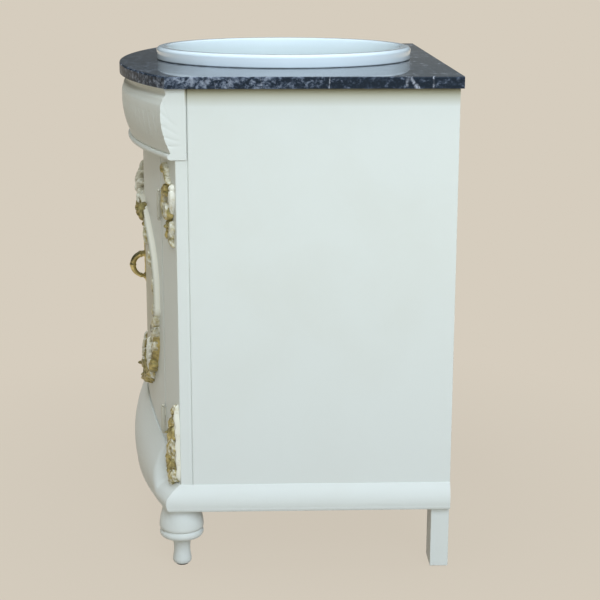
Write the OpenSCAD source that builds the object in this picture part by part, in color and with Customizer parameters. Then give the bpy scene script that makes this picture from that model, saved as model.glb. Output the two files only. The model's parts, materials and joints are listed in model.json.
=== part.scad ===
// Vanity unit with a bowed front, carved ornament, a stone top and a round basin.
// Millimetres. +Z up, +Y towards the wall, the front faces -Y.
// The origin is on the floor, in the middle of the overall width and depth.

/* [Stone top] */
// Width of the stone top
top_w = 800; // [780:1:840]
// Depth of the stone top from the wall to the middle of its bow
top_d = 604; // [596:1:640]
// Thickness of the stone
top_t = 20; // [16:1:30]
// Height of the stone's upper face above the floor
counter_h = 886; // [870:1:930]
// How far the front edge bows out from its corners
top_bow = 104; // [90:1:116]
// Radius that eases the upper edge
top_ease = 3; // [1:0.5:6]

/* [Basin] */
// Width of the stone that is left in front of the basin, at the middle
ledge_front = 69; // [66:1:90]
// Width of the stone that is left behind the basin
ledge_rear = 49; // [40:1:70]
// Height of the rim above the stone
rim_h = 23.6; // [16:0.2:30]
// Flat land on the top of the rim
rim_land = 9; // [5:0.5:14]
// Depth of the bowl below the stone's upper face
bowl_depth = 142; // [110:1:150]
// Wall of the bowl
bowl_wall = 9; // [7:0.5:12]
// Radius of the waste hole
waste_r = 22.5; // [18:0.5:26]
// Radius of the overflow hole
overflow_r = 11; // [8:0.5:14]
// Depth of the overflow hole below the stone's upper face
overflow_drop = 34; // [28:1:44]
// Width of the rim's seat on the stone
rim_seat = 15; // [12:0.5:20]
// Play around the bowl in the stone's cut-out
cutout_play = 4; // [2:0.5:6]

/* [Cabinet] */
// How far the stone overhangs each side of the cabinet
side_overhang = 12; // [8:1:20]
// How far the stone overhangs the rear of the cabinet
rear_overhang = 5; // [2:1:12]
// How far the cabinet's front sits behind the stone's edge, at the middle
front_setback = 41; // [36:1:48]
// How far the cabinet's front bows out from its corners
body_bow = 78; // [70:1:86]
// Thickness of the side panels
side_t = 18; // [15:1:22]
// Height of the cabinet's bottom edge above the floor
base_h = 117; // [100:1:130]
// Thickness of the bottom panel and the shelf
board_t = 16; // [12:1:20]
// Thickness of the back panel
back_t = 6; // [4:1:9]
// Height of the shelf's upper face above the floor
shelf_z = 416; // [380:1:450]
// Distance from the posts to the shelf's front edge
shelf_setback = 20; // [10:1:40]
// Gap between the shelf and what is around it
shelf_play = 1.5; // [1:0.5:3]
// Distance from the front and the rear of the cupboard to the shelf pins
pin_inset = 62; // [40:1:90]
// Radius of a shelf pin
pin_r = 2.5; // [2:0.5:4]
// Length of a shelf pin outside its hole
pin_out = 9; // [6:1:12]
// Depth of a shelf pin's hole
pin_in = 8; // [6:1:12]
// Width of the pipe cut-out in the back panel
pipe_w = 320; // [240:10:400]
// Height of the pipe cut-out
pipe_h = 210; // [160:10:240]
// Distance from the frieze's underside down to the pipe cut-out
pipe_drop = 40; // [20:1:60]
// Height of the back rail
back_rail_h = 80; // [60:5:100]
// Thickness of the back rail
rail_t = 19; // [15:1:24]
// Side of a corner block
block_side = 42; // [30:1:50]
// Height of a corner block
block_h = 30; // [20:1:40]

/* [Front posts] */
// Width of a post's bowed face
post_w = 77.5; // [70:0.5:90]
// Width of a post's side face
post_side = 20.5; // [16:0.5:30]
// Leg of the chamfers that make the groove behind a post
groove = 1.6; // [0.8:0.2:2.4]

/* [Frieze] */
// Height of the frieze under the stone
frieze_h = 120; // [110:1:130]
// How far the frieze's belly sits behind the stone's edge, at the middle
frieze_setback = 3.5; // [2:0.5:8]
// How far the frieze bows out from its corners
frieze_bow = 91.7; // [84:0.1:98]
// How far the frieze's ends stand out from the posts
frieze_end = 3; // [1:0.5:5]
// Depth of the frieze from its belly to its inner face
frieze_d = 78; // [66:1:79]
// Radius of the belly's profile
belly_r = 155; // [120:1:220]
// Height of the belly's widest line above the frieze's lower edge
belly_z = 77; // [70:1:82]
// Radius of the cove under the stone
cove_r = 9.8; // [7:0.2:11]
// Radius of the bead along the frieze's lower edge
bead_r = 5; // [4:0.5:6]

/* [Doors] */
// Thickness of a door
door_t = 20; // [16:1:22]
// Gap between the doors, and round them
door_gap = 2.5; // [2:0.1:3]
// Gap between a door and its post, which holds the hinge leaves
hinge_gap = 3; // [2.6:0.1:4]
// Height of the door's lower edge above the cabinet's bottom edge, at the posts
door_low = 106; // [98:1:112]
// Rise of the door's lower edge from the posts to the middle
door_rise = 41; // [30:1:50]
// Width of the notch behind a door's lower corner, which clears the rail as the door opens
notch_w = 24; // [20:1:30]
// Thickness of the door that stays in front of that notch
notch_lip = 4; // [2:0.5:5]

/* [Carving] */
// Distance from a door's hinged edge to the scroll frame
scroll_margin = 19.5; // [16:0.5:30]
// Distance from the doors' upper edge to the scroll frame
scroll_drop = 94.5; // [80:0.5:120]
// Distance from the doors' lower edge to the scroll frame, at the middle
scroll_rise = 13; // [10:0.5:30]
// Width of the scroll frame's moulding
scroll_band = 17; // [12:1:22]
// How far the scroll frame stands out from the doors
scroll_out = 11; // [6:1:14]
// Radius of the curls that end the scrolls
curl_r = 14; // [10:0.5:18]
// Squareness of the scroll frame's outline
scroll_power = 2.7; // [2.2:0.1:3.2]
// Half width of the crest
crest_w = 66; // [58:1:74]
// How far the crest stands out from the doors
crest_out = 24; // [16:1:27]
// Half width of the shell
shell_w = 76; // [66:1:90]
// How far the shell stands out from the doors
shell_out = 13; // [8:1:18]
// Length of a post's upper drop
drop_high_l = 150; // [130:1:170]
// Length of a post's lower drop
drop_low_l = 150; // [130:1:170]
// How far the post drops stand out from the posts
drop_out = 15; // [10:1:18]

/* [Skirt and base] */
// Height of the skirt and of the side mouldings at the posts
base_band = 48; // [42:1:56]
// How far the skirt swells in front of the doors
skirt_bulge = 29; // [22:1:32]
// Thickness of the skirt's upper edge
skirt_lip = 3; // [2:0.5:5]
// How much of a sine wave the swelling follows, in degrees
skirt_turn = 129; // [110:1:150]
// Width over which the skirt's upper edge falls from the doors to the posts
skirt_fall = 32; // [26:1:40]
// Thickness of the bottom rail behind the skirt
bottom_rail_t = 24; // [18:1:30]

/* [Feet] */
// Largest radius of a turned foot
foot_r = 40; // [34:0.5:44]
// Radius of a turned foot where it meets the base
foot_top_r = 34.5; // [28:0.5:38]
// Radius of a turned foot's narrow toe
toe_r = 17; // [13:0.5:22]
// Radius of the neck in the middle of the toe
neck_r = 14.8; // [12:0.2:18]
// Height of the toe under the bulb
toe_h = 54; // [48:1:60]
// Distance from a post's side face to the foot's axis
foot_inset = 38; // [34:1:46]
// How far the foot's axis sits in front of the post's corner
foot_forward = 2; // [0:0.5:4]
// Height of the plain collar above the bulb
collar_h = 10; // [6:1:16]
// Radius of the bolt that holds a turned foot
foot_bolt_r = 4; // [3:0.5:5]
// Length of that bolt on each side of the joint
foot_bolt_l = 34; // [24:1:44]
// Width of a rear leg
leg_w = 56; // [46:1:64]
// Depth of a rear leg
leg_d = 32.5; // [28:0.5:40]
// Distance from the side panel's face to a rear leg
leg_inset = 2; // [1:0.5:6]
// Radius of a glide
glide_r = 11; // [8:0.5:14]
// Thickness of a glide
glide_t = 3; // [2:0.5:5]

/* [Hinges] */
// Radius of a hinge's barrel
barrel_r = 3.5; // [3:0.1:4]
// Length of a hinge
hinge_l = 44; // [36:1:56]
// Height of the lower hinges' middle above the door's lower edge at the posts
hinge_low = 40; // [30:1:60]
// Distance from the frieze's underside down to the upper hinges' middle
hinge_high = 90; // [50:1:120]
// Radius of a hinge's pin
hinge_pin_r = 2; // [1.6:0.1:2.4]
// Depth of a hinge leaf in the gap
leaf_d = 22; // [16:1:26]
// Gap between the barrel's sections, and between its two leaves
knuckle_gap = 0.3; // [0.2:0.05:0.5]
// Distance from the barrel's axis to the door's face
barrel_out = 4.5; // [4.2:0.1:5.5]
// Radial play of a pin in a turning section
pin_play = 0.05; // [0.02:0.01:0.08]

/* [Pull and catches] */
// Radius of the pull's bow, to the middle of its bar
pull_r = 23; // [20:0.5:27]
// Radius of the pull's bar
pull_bar_r = 4.6; // [3.5:0.1:5.5]
// Distance from the doors' meeting line to the pull
pull_x = 30; // [22:1:40]
// Distance from the scroll frame's top down to the pull's middle
pull_drop = 161; // [150:1:180]
// Thickness of the pull's backplate
plate_t = 3.5; // [2:0.5:5]
// Length of the pull's backplate
plate_l = 132; // [110:1:150]
// Width of the pull's backplate
plate_w = 26; // [20:1:32]
// Radius of a screw of the pull
screw_r = 2; // [1.5:0.5:2.5]
// Width of a magnetic catch
catch_w = 30; // [24:1:36]
// Height of a magnetic catch
catch_h = 12; // [10:1:16]
// Depth of a magnetic catch
catch_d = 13; // [9:1:18]
// Distance from the doors' meeting line to a catch
catch_x = 8; // [5:1:16]
// Thickness of a strike plate
strike_t = 1.2; // [0.8:0.1:1.6]
// Gap between a catch and its strike plate
catch_gap = 0.4; // [0.3:0.1:0.8]

/* [Hidden] */
$fn = 96;

cream = [0.86, 0.87, 0.82];
gilt = [0.66, 0.55, 0.27];
brass = [0.72, 0.60, 0.30];
bare_wood = [0.72, 0.60, 0.44];
stone = [0.13, 0.14, 0.17];
glaze = [0.92, 0.95, 0.96];
steel = [0.70, 0.71, 0.72];

seat_gap = 0.3;         // between pieces planted side by side, and behind a plate on a bowed face
usual_curl_r = 14;      // radius that the scrolls' gap and curls are given for
usual_drop_l = 150;     // length that the drops' domes are given for
usual_crest_w = 66;     // half width that the crest's domes are given for
usual_shell_w = 76;     // half width that the shell's domes are given for
far = 2000;             // longer than anything in the model
big_fn = 360;           // facets of the wide bows
joint_lap = 0.01;       // by which solids of one part run into each other
bore_play = 0.03;       // radial play of a pin or a bolt in its bore
seat_play = 0.05;       // between the pull's flat feet and its bowed backplate
y_rear = top_d / 2;
y_front = -top_d / 2;
top_z = counter_h - top_t;

// A bow through two corners half_w apart from the middle, bow mm behind its apex.
function bow_radius(half_w, bow) = (half_w * half_w + bow * bow) / (2 * bow);

top_r = bow_radius(top_w / 2, top_bow);
top_cy = y_front + top_r;
side_x = top_w / 2 - side_overhang;
body_r = bow_radius(side_x, body_bow);
body_cy = y_front + front_setback + body_r;
corner_angle = asin(side_x / body_r);
function bow_y(x, r = body_r) = body_cy - sqrt(r * r - x * x);

corner_y = bow_y(side_x);
post_back_y = corner_y + post_side;
post_x = side_x - post_w;
cabinet_back_y = y_rear - rear_overhang;
inner_back_y = cabinet_back_y - back_t;
inner_x = side_x - side_t;
frieze_z = top_z - frieze_h;
frieze_x = side_x + frieze_end;
frieze_r = bow_radius(frieze_x, frieze_bow);
frieze_cy = y_front + frieze_setback + frieze_r;
frieze_back_y = post_back_y - 2;
frieze_band_z = 11;     // height of the flat that carries the bead
bead_back = 15;         // from the belly's widest line back to the bead's centre

door_z = base_h + door_low;
hinge_x = post_x - hinge_gap / 2;
hinge_y = bow_y(hinge_x) - barrel_out;
door_x = post_x - hinge_gap;
door_top = frieze_z - door_gap;
arch_top = door_z - door_gap + door_rise;
arch_r = bow_radius(door_x, door_rise);
function arch_z(x) = arch_top - arch_r + sqrt(arch_r * arch_r - x * x);
inner_floor_z = arch_z(door_x);
scroll_w = door_x - scroll_margin;
scroll_top_z = door_top - scroll_drop;
scroll_low_z = arch_top + door_gap + scroll_rise;
scroll_mid_z = (scroll_top_z + scroll_low_z) / 2;
scroll_h = (scroll_top_z - scroll_low_z) / 2;
pull_mid_z = scroll_top_z - pull_drop;

hinge_zs = [door_z + hinge_low, frieze_z - hinge_high];
hinge_leaf_t = (hinge_gap - knuckle_gap) / 2;
knuckle_l = hinge_l / 3;
strike_r = body_r - door_t - seat_gap;

band_top = base_h + base_band;
foot_x = side_x - foot_inset;
foot_y = corner_y - foot_forward;
leg_x = side_x - leg_inset;
rim_r = (top_d - ledge_front - ledge_rear) / 2;
basin_y = y_rear - ledge_rear - rim_r;
rim_round = 7;
rim_foot = 3;
cutout_r = rim_r - rim_seat;
bowl_out_r = cutout_r - cutout_play;

// Smooth step from 0 to 1 as x goes from a to b.
function blend(a, b, x) = let (t = min(1, max(0, (x - a) / (b - a)))) t * t * (3 - 2 * t);
function skirt_top(x) = let (k = blend(door_x, door_x + skirt_fall, abs(x)))
  arch_z(min(abs(x), door_x)) * (1 - k) + band_top * k;
function swell(t) = skirt_lip + (skirt_bulge - skirt_lip) * sin(skirt_turn * t);

// Mirrors its children to the left side when side is -1.
module on_side(side) {
  if (side > 0) children();
  else mirror([1, 0, 0]) children();
}

// Solid cylinder that the cabinet's bowed front face lies on.
module body_core(r = body_r) {
  translate([0, body_cy, 0]) cylinder(r = r, h = far, $fn = big_fn);
}

// Box from corner a to corner b.
module box(a, b) {
  translate(a) cube(b - a);
}

// Band of the cabinet's bow between two radii, from x0 to x1 and z0 to z1.
module bow_band(r_out, r_in, x0, x1, z0, z1) {
  intersection() {
    difference() {
      body_core(r_out);
      translate([0, 0, -1]) body_core(r_in);
    }
    box([x0, -far, z0], [x1, 0, z1]);
  }
}

// Extrudes an outline drawn in X and Z through the whole front of the cabinet.
module through_front() {
  rotate([90, 0, 0]) linear_extrude(far) children();
}

// Part of its children that stands in front of the cabinet's bowed face by no more than out.
module relief(out) {
  intersection() {
    through_front() children();
    difference() {
      body_core(body_r + out);
      translate([0, 0, -1]) body_core(body_r);
    }
  }
}

// Low dome of radius r that stands out by h on the bowed face at x, z.
module dome(x, z, r, h) {
  ball_r = (r * r + h * h) / (2 * h);
  translate([x, bow_y(x) + ball_r - h, z]) sphere(r = ball_r, $fn = 64);
}

// Domes given as [x, z, r, h], with what lies behind the bowed face cut away.
module domes(list) {
  difference() {
    union() {
      for (d = list) dome(d[0], d[1], d[2], d[3]);
    }
    body_core();
  }
}

// Corner between a square edge and a round of radius r, for easing an edge.
module ease_profile(r) {
  difference() {
    square([r + 1, r + 1]);
    circle(r = r, $fn = 48);
  }
}

module counter_top() {
  color(stone) difference() {
    intersection() {
      translate([0, top_cy, top_z]) cylinder(r = top_r, h = top_t, $fn = big_fn);
      box([-top_w / 2, y_front - 1, top_z - 1], [top_w / 2, y_rear, counter_h + 1]);
    }
    translate([0, basin_y, top_z - 1]) cylinder(r = cutout_r, h = top_t + 2, $fn = big_fn);
    translate([0, top_cy, counter_h - top_ease])
      rotate_extrude($fn = big_fn) translate([top_r - top_ease, 0]) ease_profile(top_ease);
    for (side = [1, -1]) on_side(side)
      translate([top_w / 2 - top_ease, y_rear + 1, counter_h - top_ease])
        rotate([90, 0, 0]) linear_extrude(top_d) ease_profile(top_ease);
  }
}

// Inner and outer curves of the bowl, from the rim down to the waste, as [radius, height].
function bowl_curve(r, depth, steps) =
  [for (i = [0 : steps]) let (a = 80 * i / steps) [r * pow(cos(a), 0.6), -depth * sin(a) / sin(80)]];

module basin() {
  lip_r = bowl_out_r - bowl_wall + 1;
  land_r = rim_r - rim_round - rim_land;
  inner = [for (p = bowl_curve(lip_r, bowl_depth, 14)) p];
  outer = [for (p = bowl_curve(bowl_out_r, bowl_depth + bowl_wall, 14)) p];
  rim_out = [for (a = [0 : 15 : 90])
    [rim_r - rim_round + rim_round * cos(a), rim_h - rim_round + rim_round * sin(a)]];
  foot = [for (a = [-90 : 30 : 0])
    [rim_r - rim_foot + rim_foot * cos(a), rim_foot + rim_foot * sin(a)]];
  lip = [[land_r, rim_h], [land_r - 3, rim_h - 1], [land_r - 5, rim_h - 4]];
  waste = [[waste_r + 26, -bowl_depth], [waste_r, -bowl_depth - 3], [waste_r, -bowl_depth - bowl_wall - 4],
    [waste_r + 24, -bowl_depth - bowl_wall - 4]];
  outer_up = [for (i = [len(outer) - 1 : -1 : 0]) outer[i]];
  color(glaze) difference() {
    translate([0, basin_y, counter_h])
      rotate_extrude($fn = 144) polygon(concat(foot, rim_out, lip, inner, waste, outer_up));
    translate([0, basin_y, counter_h - overflow_drop]) rotate([90, 0, 0])
      cylinder(r = overflow_r, h = rim_r, $fn = 48);
  }
}

// Square bar on edge that cuts the groove between a post and its side panel.
module groove_cutter() {
  translate([side_x, post_back_y, 0]) rotate([0, 0, 45])
    translate([-groove / sqrt(2), -groove / sqrt(2), 0]) cube([groove * sqrt(2), groove * sqrt(2), far]);
}

module side_panel() {
  color(cream) difference() {
    box([inner_x, post_back_y, base_h], [side_x, cabinet_back_y, top_z]);
    groove_cutter();
    pin_places() rotate([0, 90, 0]) cylinder(r = pin_r + bore_play, h = pin_in, $fn = 32);
  }
}

// The places of the two shelf pins of the right side, at the panel's inner face.
module pin_places() {
  for (y = [post_back_y + pin_inset, inner_back_y - pin_inset])
    translate([inner_x, y, shelf_z - board_t - pin_r]) children();
}

module front_post() {
  color(cream) difference() {
    intersection() {
      body_core();
      box([post_x, y_front, base_h], [side_x, post_back_y, frieze_z]);
    }
    groove_cutter();
    translate([foot_x, foot_y, base_h - 1])
      cylinder(r = foot_bolt_r + bore_play, h = foot_bolt_l + 2, $fn = 48);
  }
}

// Section of the frieze as [distance from its bow's centre, height above its lower edge].
function frieze_section() = let (flat_r = frieze_r - bead_back - bead_r) concat(
  [[frieze_r - frieze_d, 0], [flat_r, 0], [flat_r, frieze_band_z]],
  [for (i = [0 : 10]) let (z = frieze_band_z + 3 + (frieze_h - cove_r * 2 - 12 - frieze_band_z) * i / 10)
    [frieze_r - belly_r + sqrt(belly_r * belly_r - (z - belly_z) * (z - belly_z)), z]],
  [for (a = [-60 : 20 : 60]) [frieze_r + 1 - cove_r * cos(a), frieze_h - cove_r + 1 + cove_r * sin(a) * 0.9]],
  [[frieze_r - frieze_d, frieze_h]]);

module frieze() {
  color(cream) intersection() {
    translate([0, frieze_cy, frieze_z]) rotate_extrude($fn = big_fn) polygon(frieze_section());
    box([-frieze_x, -far, frieze_z - 1], [frieze_x, frieze_back_y, top_z + 1]);
  }
}

module frieze_bead() {
  color(cream) intersection() {
    translate([0, frieze_cy, frieze_z + bead_r])
      rotate_extrude($fn = big_fn) translate([frieze_r - bead_back, 0]) circle(r = bead_r, $fn = 32);
    box([-side_x, -far, frieze_z - 1], [side_x, frieze_back_y - 10, top_z]);
  }
}

// Swelling skirt: a grid of points over the bow, closed by the bowed face behind it.
module skirt() {
  columns = 64;
  rows = 12;
  back_r = body_r + 0.1;
  function column_angle(i) = corner_angle * (2 * i / columns - 1);
  function spot(r, a, z) = [r * sin(a), body_cy - r * cos(a), z];
  function column_top(i) = skirt_top(body_r * sin(column_angle(i)));
  front = [for (i = [0 : columns]) for (j = [0 : rows])
    let (a = column_angle(i), top = column_top(i), t = j / rows)
    spot(body_r + swell(t), a, top + (base_h - top) * t)];
  back = [for (i = [0 : columns]) for (z = [column_top(i), base_h]) spot(back_r, column_angle(i), z)];
  n = len(front);
  row = rows + 1;
  function f(i, j) = i * row + j;
  function b(i, j) = n + i * 2 + j;
  skin = [for (i = [0 : columns - 1]) for (j = [0 : rows - 1])
    each [[f(i, j), f(i, j + 1), f(i + 1, j + 1)], [f(i, j), f(i + 1, j + 1), f(i + 1, j)]]];
  rear = [for (i = [0 : columns - 1])
    each [[b(i, 0), b(i + 1, 1), b(i, 1)], [b(i, 0), b(i + 1, 0), b(i + 1, 1)]]];
  upper = [for (i = [0 : columns - 1])
    each [[f(i, 0), f(i + 1, 0), b(i + 1, 0)], [f(i, 0), b(i + 1, 0), b(i, 0)]]];
  lower = [for (i = [0 : columns - 1])
    each [[f(i, rows), b(i, 1), b(i + 1, 1)], [f(i, rows), b(i + 1, 1), f(i + 1, rows)]]];
  left_end = concat([for (j = [0 : rows - 1]) [f(0, j), b(0, 0), f(0, j + 1)]],
    [[f(0, rows), b(0, 0), b(0, 1)]]);
  right_end = concat([for (j = [0 : rows - 1]) [f(columns, j + 1), b(columns, 0), f(columns, j)]],
    [[f(columns, rows), b(columns, 1), b(columns, 0)]]);
  color(cream) polyhedron(concat(front, back), concat(skin, rear, upper, lower, left_end, right_end));
}

module bottom_rail() {
  color(cream) intersection() {
    bow_band(body_r, body_r - bottom_rail_t, -post_x, post_x, base_h, arch_top + 1);
    arch_core(arch_r);
  }
}

// Solid under the arch that the doors' lower edges follow.
module arch_core(r) {
  translate([0, 0, arch_top - arch_r]) rotate([90, 0, 0]) cylinder(r = r, h = far, $fn = big_fn);
}

// Side moulding with the same swelling as the skirt's end, mitred to it at the corner.
module base_moulding() {
  steps = 12;
  section = concat([[0, base_h], [0, band_top]],
    [for (j = [0 : steps]) let (t = j / steps) [swell(t) * sin(corner_angle), band_top - base_band * t]]);
  color(cream) difference() {
    translate([side_x, cabinet_back_y, 0]) rotate([90, 0, 0])
      linear_extrude(cabinet_back_y - corner_y + skirt_bulge) polygon(section);
    translate([side_x, corner_y, -1]) rotate([0, 0, corner_angle]) translate([-far, -far / 2, 0]) cube(far);
  }
}

module bottom_panel() {
  z0 = inner_floor_z - board_t;
  color(bare_wood) union() {
    box([-inner_x, post_back_y, z0], [inner_x, inner_back_y, inner_floor_z]);
    intersection() {
      body_core(body_r - bottom_rail_t);
      box([-post_x, y_front, z0], [post_x, post_back_y + joint_lap, inner_floor_z]);
    }
  }
}

module back_panel() {
  pipe_z = frieze_z - pipe_drop - pipe_h;
  color(bare_wood) difference() {
    box([-inner_x, inner_back_y, base_h], [inner_x, cabinet_back_y, top_z]);
    box([-pipe_w / 2, inner_back_y - 1, pipe_z], [pipe_w / 2, cabinet_back_y + 1, pipe_z + pipe_h]);
  }
}

module back_rail() {
  color(bare_wood)
    box([-inner_x, inner_back_y - rail_t, top_z - back_rail_h], [inner_x, inner_back_y, top_z]);
}

module shelf() {
  color(bare_wood) box([-inner_x + shelf_play, post_back_y + shelf_setback, shelf_z - board_t],
    [inner_x - shelf_play, inner_back_y - shelf_play, shelf_z]);
}

module shelf_pins() {
  color(steel) for (side = [1, -1]) on_side(side)
    pin_places() translate([-pin_out, 0, 0]) rotate([0, 90, 0])
      cylinder(r = pin_r, h = pin_out + pin_in - 0.5, $fn = 32);
}

// Triangular blocks glued into the corners under the stone.
module corner_blocks() {
  color(bare_wood) for (side = [1, -1]) on_side(side) {
    translate([inner_x, post_back_y + 2, top_z - block_h])
      linear_extrude(block_h) polygon([[0, 0], [-block_side, 0], [0, block_side]]);
    translate([inner_x, inner_back_y - rail_t, top_z - block_h])
      linear_extrude(block_h) polygon([[0, 0], [-block_side, 0], [0, -block_side]]);
  }
}

module rear_leg() {
  leg_front_y = cabinet_back_y - leg_d;
  color(cream) union() {
    box([leg_x - leg_w, leg_front_y, glide_t], [leg_x, cabinet_back_y, base_h]);
    box([leg_x - leg_w, leg_front_y, base_h - joint_lap], [inner_x, inner_back_y, inner_floor_z - board_t]);
  }
}

// Half section of a turned foot: necked toe, rounded lip, bulb and collar.
function foot_section() = let (bulb_z = toe_h + 22, collar_z = base_h - collar_h) concat(
  [[0, glide_t], [toe_r - 4, glide_t], [toe_r - 1, glide_t + 2], [toe_r, glide_t + 6], [toe_r - 0.6, glide_t + 12]],
  [[neck_r, toe_h * 0.47], [neck_r, toe_h * 0.68], [neck_r + 1.4, toe_h * 0.88], [toe_r + 2, toe_h]],
  [for (d = [[12, 2], [5, 4], [1.8, 6.5], [0.6, 10], [0.6, 13.5], [1.8, 16], [0.5, 18.5]]) [foot_r - d[0], toe_h + d[1]]],
  [for (t = [0 : 0.125 : 1])
    [foot_top_r + (foot_r - foot_top_r) * cos(90 * t), bulb_z + (collar_z - bulb_z) * t]],
  [[foot_top_r, base_h], [0, base_h]]);

module front_foot() {
  color(cream) difference() {
    translate([foot_x, foot_y, 0]) rotate_extrude($fn = 96) polygon(foot_section());
    translate([foot_x, foot_y, base_h - foot_bolt_l - 1])
      cylinder(r = foot_bolt_r + bore_play, h = foot_bolt_l + 2, $fn = 48);
  }
}

module foot_bolts() {
  color(steel) for (side = [1, -1]) on_side(side)
    translate([foot_x, foot_y, base_h - foot_bolt_l]) cylinder(r = foot_bolt_r, h = 2 * foot_bolt_l, $fn = 48);
}

module glides() {
  color("dimgray") for (side = [1, -1]) on_side(side) {
    translate([foot_x, foot_y, 0]) cylinder(r = glide_r, h = glide_t, $fn = 48);
    translate([leg_x - leg_w / 2, cabinet_back_y - leg_d / 2, 0]) cylinder(r = glide_r, h = glide_t, $fn = 48);
  }
}

// Domes on a post, as [distance from the side face, height above z, r, share of drop_out].
// The first three are for the usual length, and k is how much longer the drop is.
module post_domes(z, k, list) {
  intersection() {
    domes([for (d = list) [side_x - k * d[0], z + k * d[1], k * d[2], drop_out * d[3]]]);
    box([post_x + 4, y_front, base_h], [side_x, post_back_y, top_z]);
  }
}

// Carved drop in the upper part of a post: leaf, two scrolls, rosette and tail.
module upper_drop() {
  color(gilt) post_domes(frieze_z, drop_high_l / usual_drop_l, [[28, -32, 18, 0.8], [15, -53, 16, 1],
    [36, -61, 12, 0.7], [20, -78, 17, 0.9], [24, -104, 19, 1], [19, -126, 12, 0.6], [17, -141, 8, 0.45]]);
}

// Carved drop in the lower part of a post: a narrow console with a cluster of leaves.
module lower_drop() {
  k = drop_low_l / usual_drop_l;
  edge = [[20, 0], [0, 0], [0, 150], [8, 150], [16, 110], [30, 70], [28, 36]];
  color(gilt) union() {
    intersection() {
      relief(drop_out * 0.75) polygon([for (p = edge) [side_x - k * p[0], band_top + k * p[1]]]);
      box([post_x + 4, y_front, base_h], [side_x, post_back_y, top_z]);
    }
    post_domes(band_top, k, [[14, 128, 12, 0.8], [22, 110, 12, 0.9], [31, 90, 13, 1], [20, 76, 16, 1.1],
      [36, 68, 11, 1], [24, 52, 14, 1.05], [18, 32, 13, 1], [12, 14, 11, 0.9]]);
  }
}

// Children are what is bored out of the door.
module door() {
  notch_x = door_x - notch_w;
  swing_r = norm([hinge_x - notch_x, bow_y(notch_x, body_r - door_t) - hinge_y]);
  notch_z = arch_z(hinge_x - swing_r) + seat_gap;
  color(cream) difference() {
    bow_band(body_r, body_r - door_t, door_gap / 2, door_x, base_h, door_top);
    arch_core(arch_r + door_gap);
    intersection() {
      body_core(body_r - notch_lip);
      box([notch_x, y_front, base_h], [door_x + 1, 0, notch_z]);
    }
    children();
  }
}

// Place of the pull's middle, out mm in front of the door's face and square to its bow.
module pull_place(out) {
  translate([0, body_cy, pull_mid_z]) rotate([0, 0, asin(pull_x / body_r)])
    translate([0, -body_r - out, 0]) children();
}

// The pull's two screw places, on the door's face.
module screw_places() {
  for (k = [-1, 1]) pull_place(0) translate([0, 0, k * pull_r]) children();
}

module screw_holes() {
  screw_places() translate([0, door_t + 8, 0]) rotate([90, 0, 0])
    cylinder(r = screw_r + 0.1, h = door_t + 16, $fn = 32);
}

// Outline of the scroll frame, shrunk by inset.
function scroll_outline(inset) = [for (i = [0 : 71]) let (a = 360 * i / 72, c = cos(a), s = sin(a))
  [(scroll_w - inset) * sign(c) * pow(abs(c), 2 / scroll_power),
   scroll_mid_z + (scroll_h - inset) * sign(s) * pow(abs(s), 2 / scroll_power)]];

// Right half of the scroll frame: an upper and a lower scroll that end in curls at the widest place.
module scroll_frame() {
  z = scroll_mid_z;
  k = curl_r / usual_curl_r;
  color(cream) intersection() {
    union() {
      relief(scroll_out) difference() {
        polygon(scroll_outline(0));
        polygon(scroll_outline(scroll_band));
        translate([scroll_w - 60 * k, z - 34 * k]) square([80 * k, 12 * k]);
        translate([-1, z]) square([crest_w + seat_gap + 1, scroll_h + 1]);
        translate([-1, z - scroll_h - 1]) square([shell_w + seat_gap + 1, scroll_h + 1]);
      }
      domes([[scroll_w - 14 * k, z - 12 * k, curl_r, scroll_out + 1],
        [scroll_w - 22 * k, z - 40 * k, 12 * k, scroll_out + 1]]);
    }
    box([door_gap / 2, y_front, base_h], [door_x, 0, top_z]);
  }
}

// Domes k times as far apart and as wide as the list has them, above z, with their height a share of out.
function scaled_domes(z, k, out, list) = [for (d = list) [k * d[0], z + k * d[1], k * d[2], out * d[3]]];

// Right half of the crest: a fan of leaves over a drop.
module crest() {
  list = concat([[0, 4, 26, 1], [0, -22, 20, 0.7], [0, -52, 15, 0.4], [0, -68, 9, 0.3]],
    [for (a = [15 : 30 : 75]) [38.28 * sin(a), 30 * cos(a) - 4, 13, 0.6]], [[54, -8, 12, 0.5]]);
  color(gilt) intersection() {
    domes(scaled_domes(scroll_top_z, crest_w / usual_crest_w, crest_out, list));
    box([door_gap / 2, y_front, base_h], [crest_w, 0, top_z]);
  }
}

// Right half of the shell at the foot of the scroll frame.
module shell() {
  list = concat([[0, 22, 24, 1], [0, 50, 14, 0.6], [60, 12, 16, 0.7]],
    [for (a = [20 : 26 : 98]) [34.2 * sin(a), 30 * cos(a) + 16, 12, 0.8]]);
  color(gilt) intersection() {
    domes(scaled_domes(scroll_low_z, shell_w / usual_shell_w, shell_out, list));
    difference() {
      box([door_gap / 2, y_front, base_h], [shell_w, 0, top_z]);
      arch_core(arch_r + door_gap);
    }
  }
}

module pull_plate() {
  z = pull_mid_z;
  color(gilt) difference() {
    relief(plate_t) union() {
      translate([pull_x, z - pull_r]) circle(r = plate_w / 2, $fn = 48);
      translate([pull_x, z + pull_r]) circle(r = plate_w / 2, $fn = 48);
      translate([pull_x - plate_w / 3, z - pull_r]) square([plate_w / 1.5, 2 * pull_r]);
      translate([pull_x, z + pull_r])
        polygon([[-plate_w / 2 + 1, 4], [plate_w / 2 - 1, 4], [0, plate_l - pull_r * 2.6]]);
    }
    screw_holes();
  }
}

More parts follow.
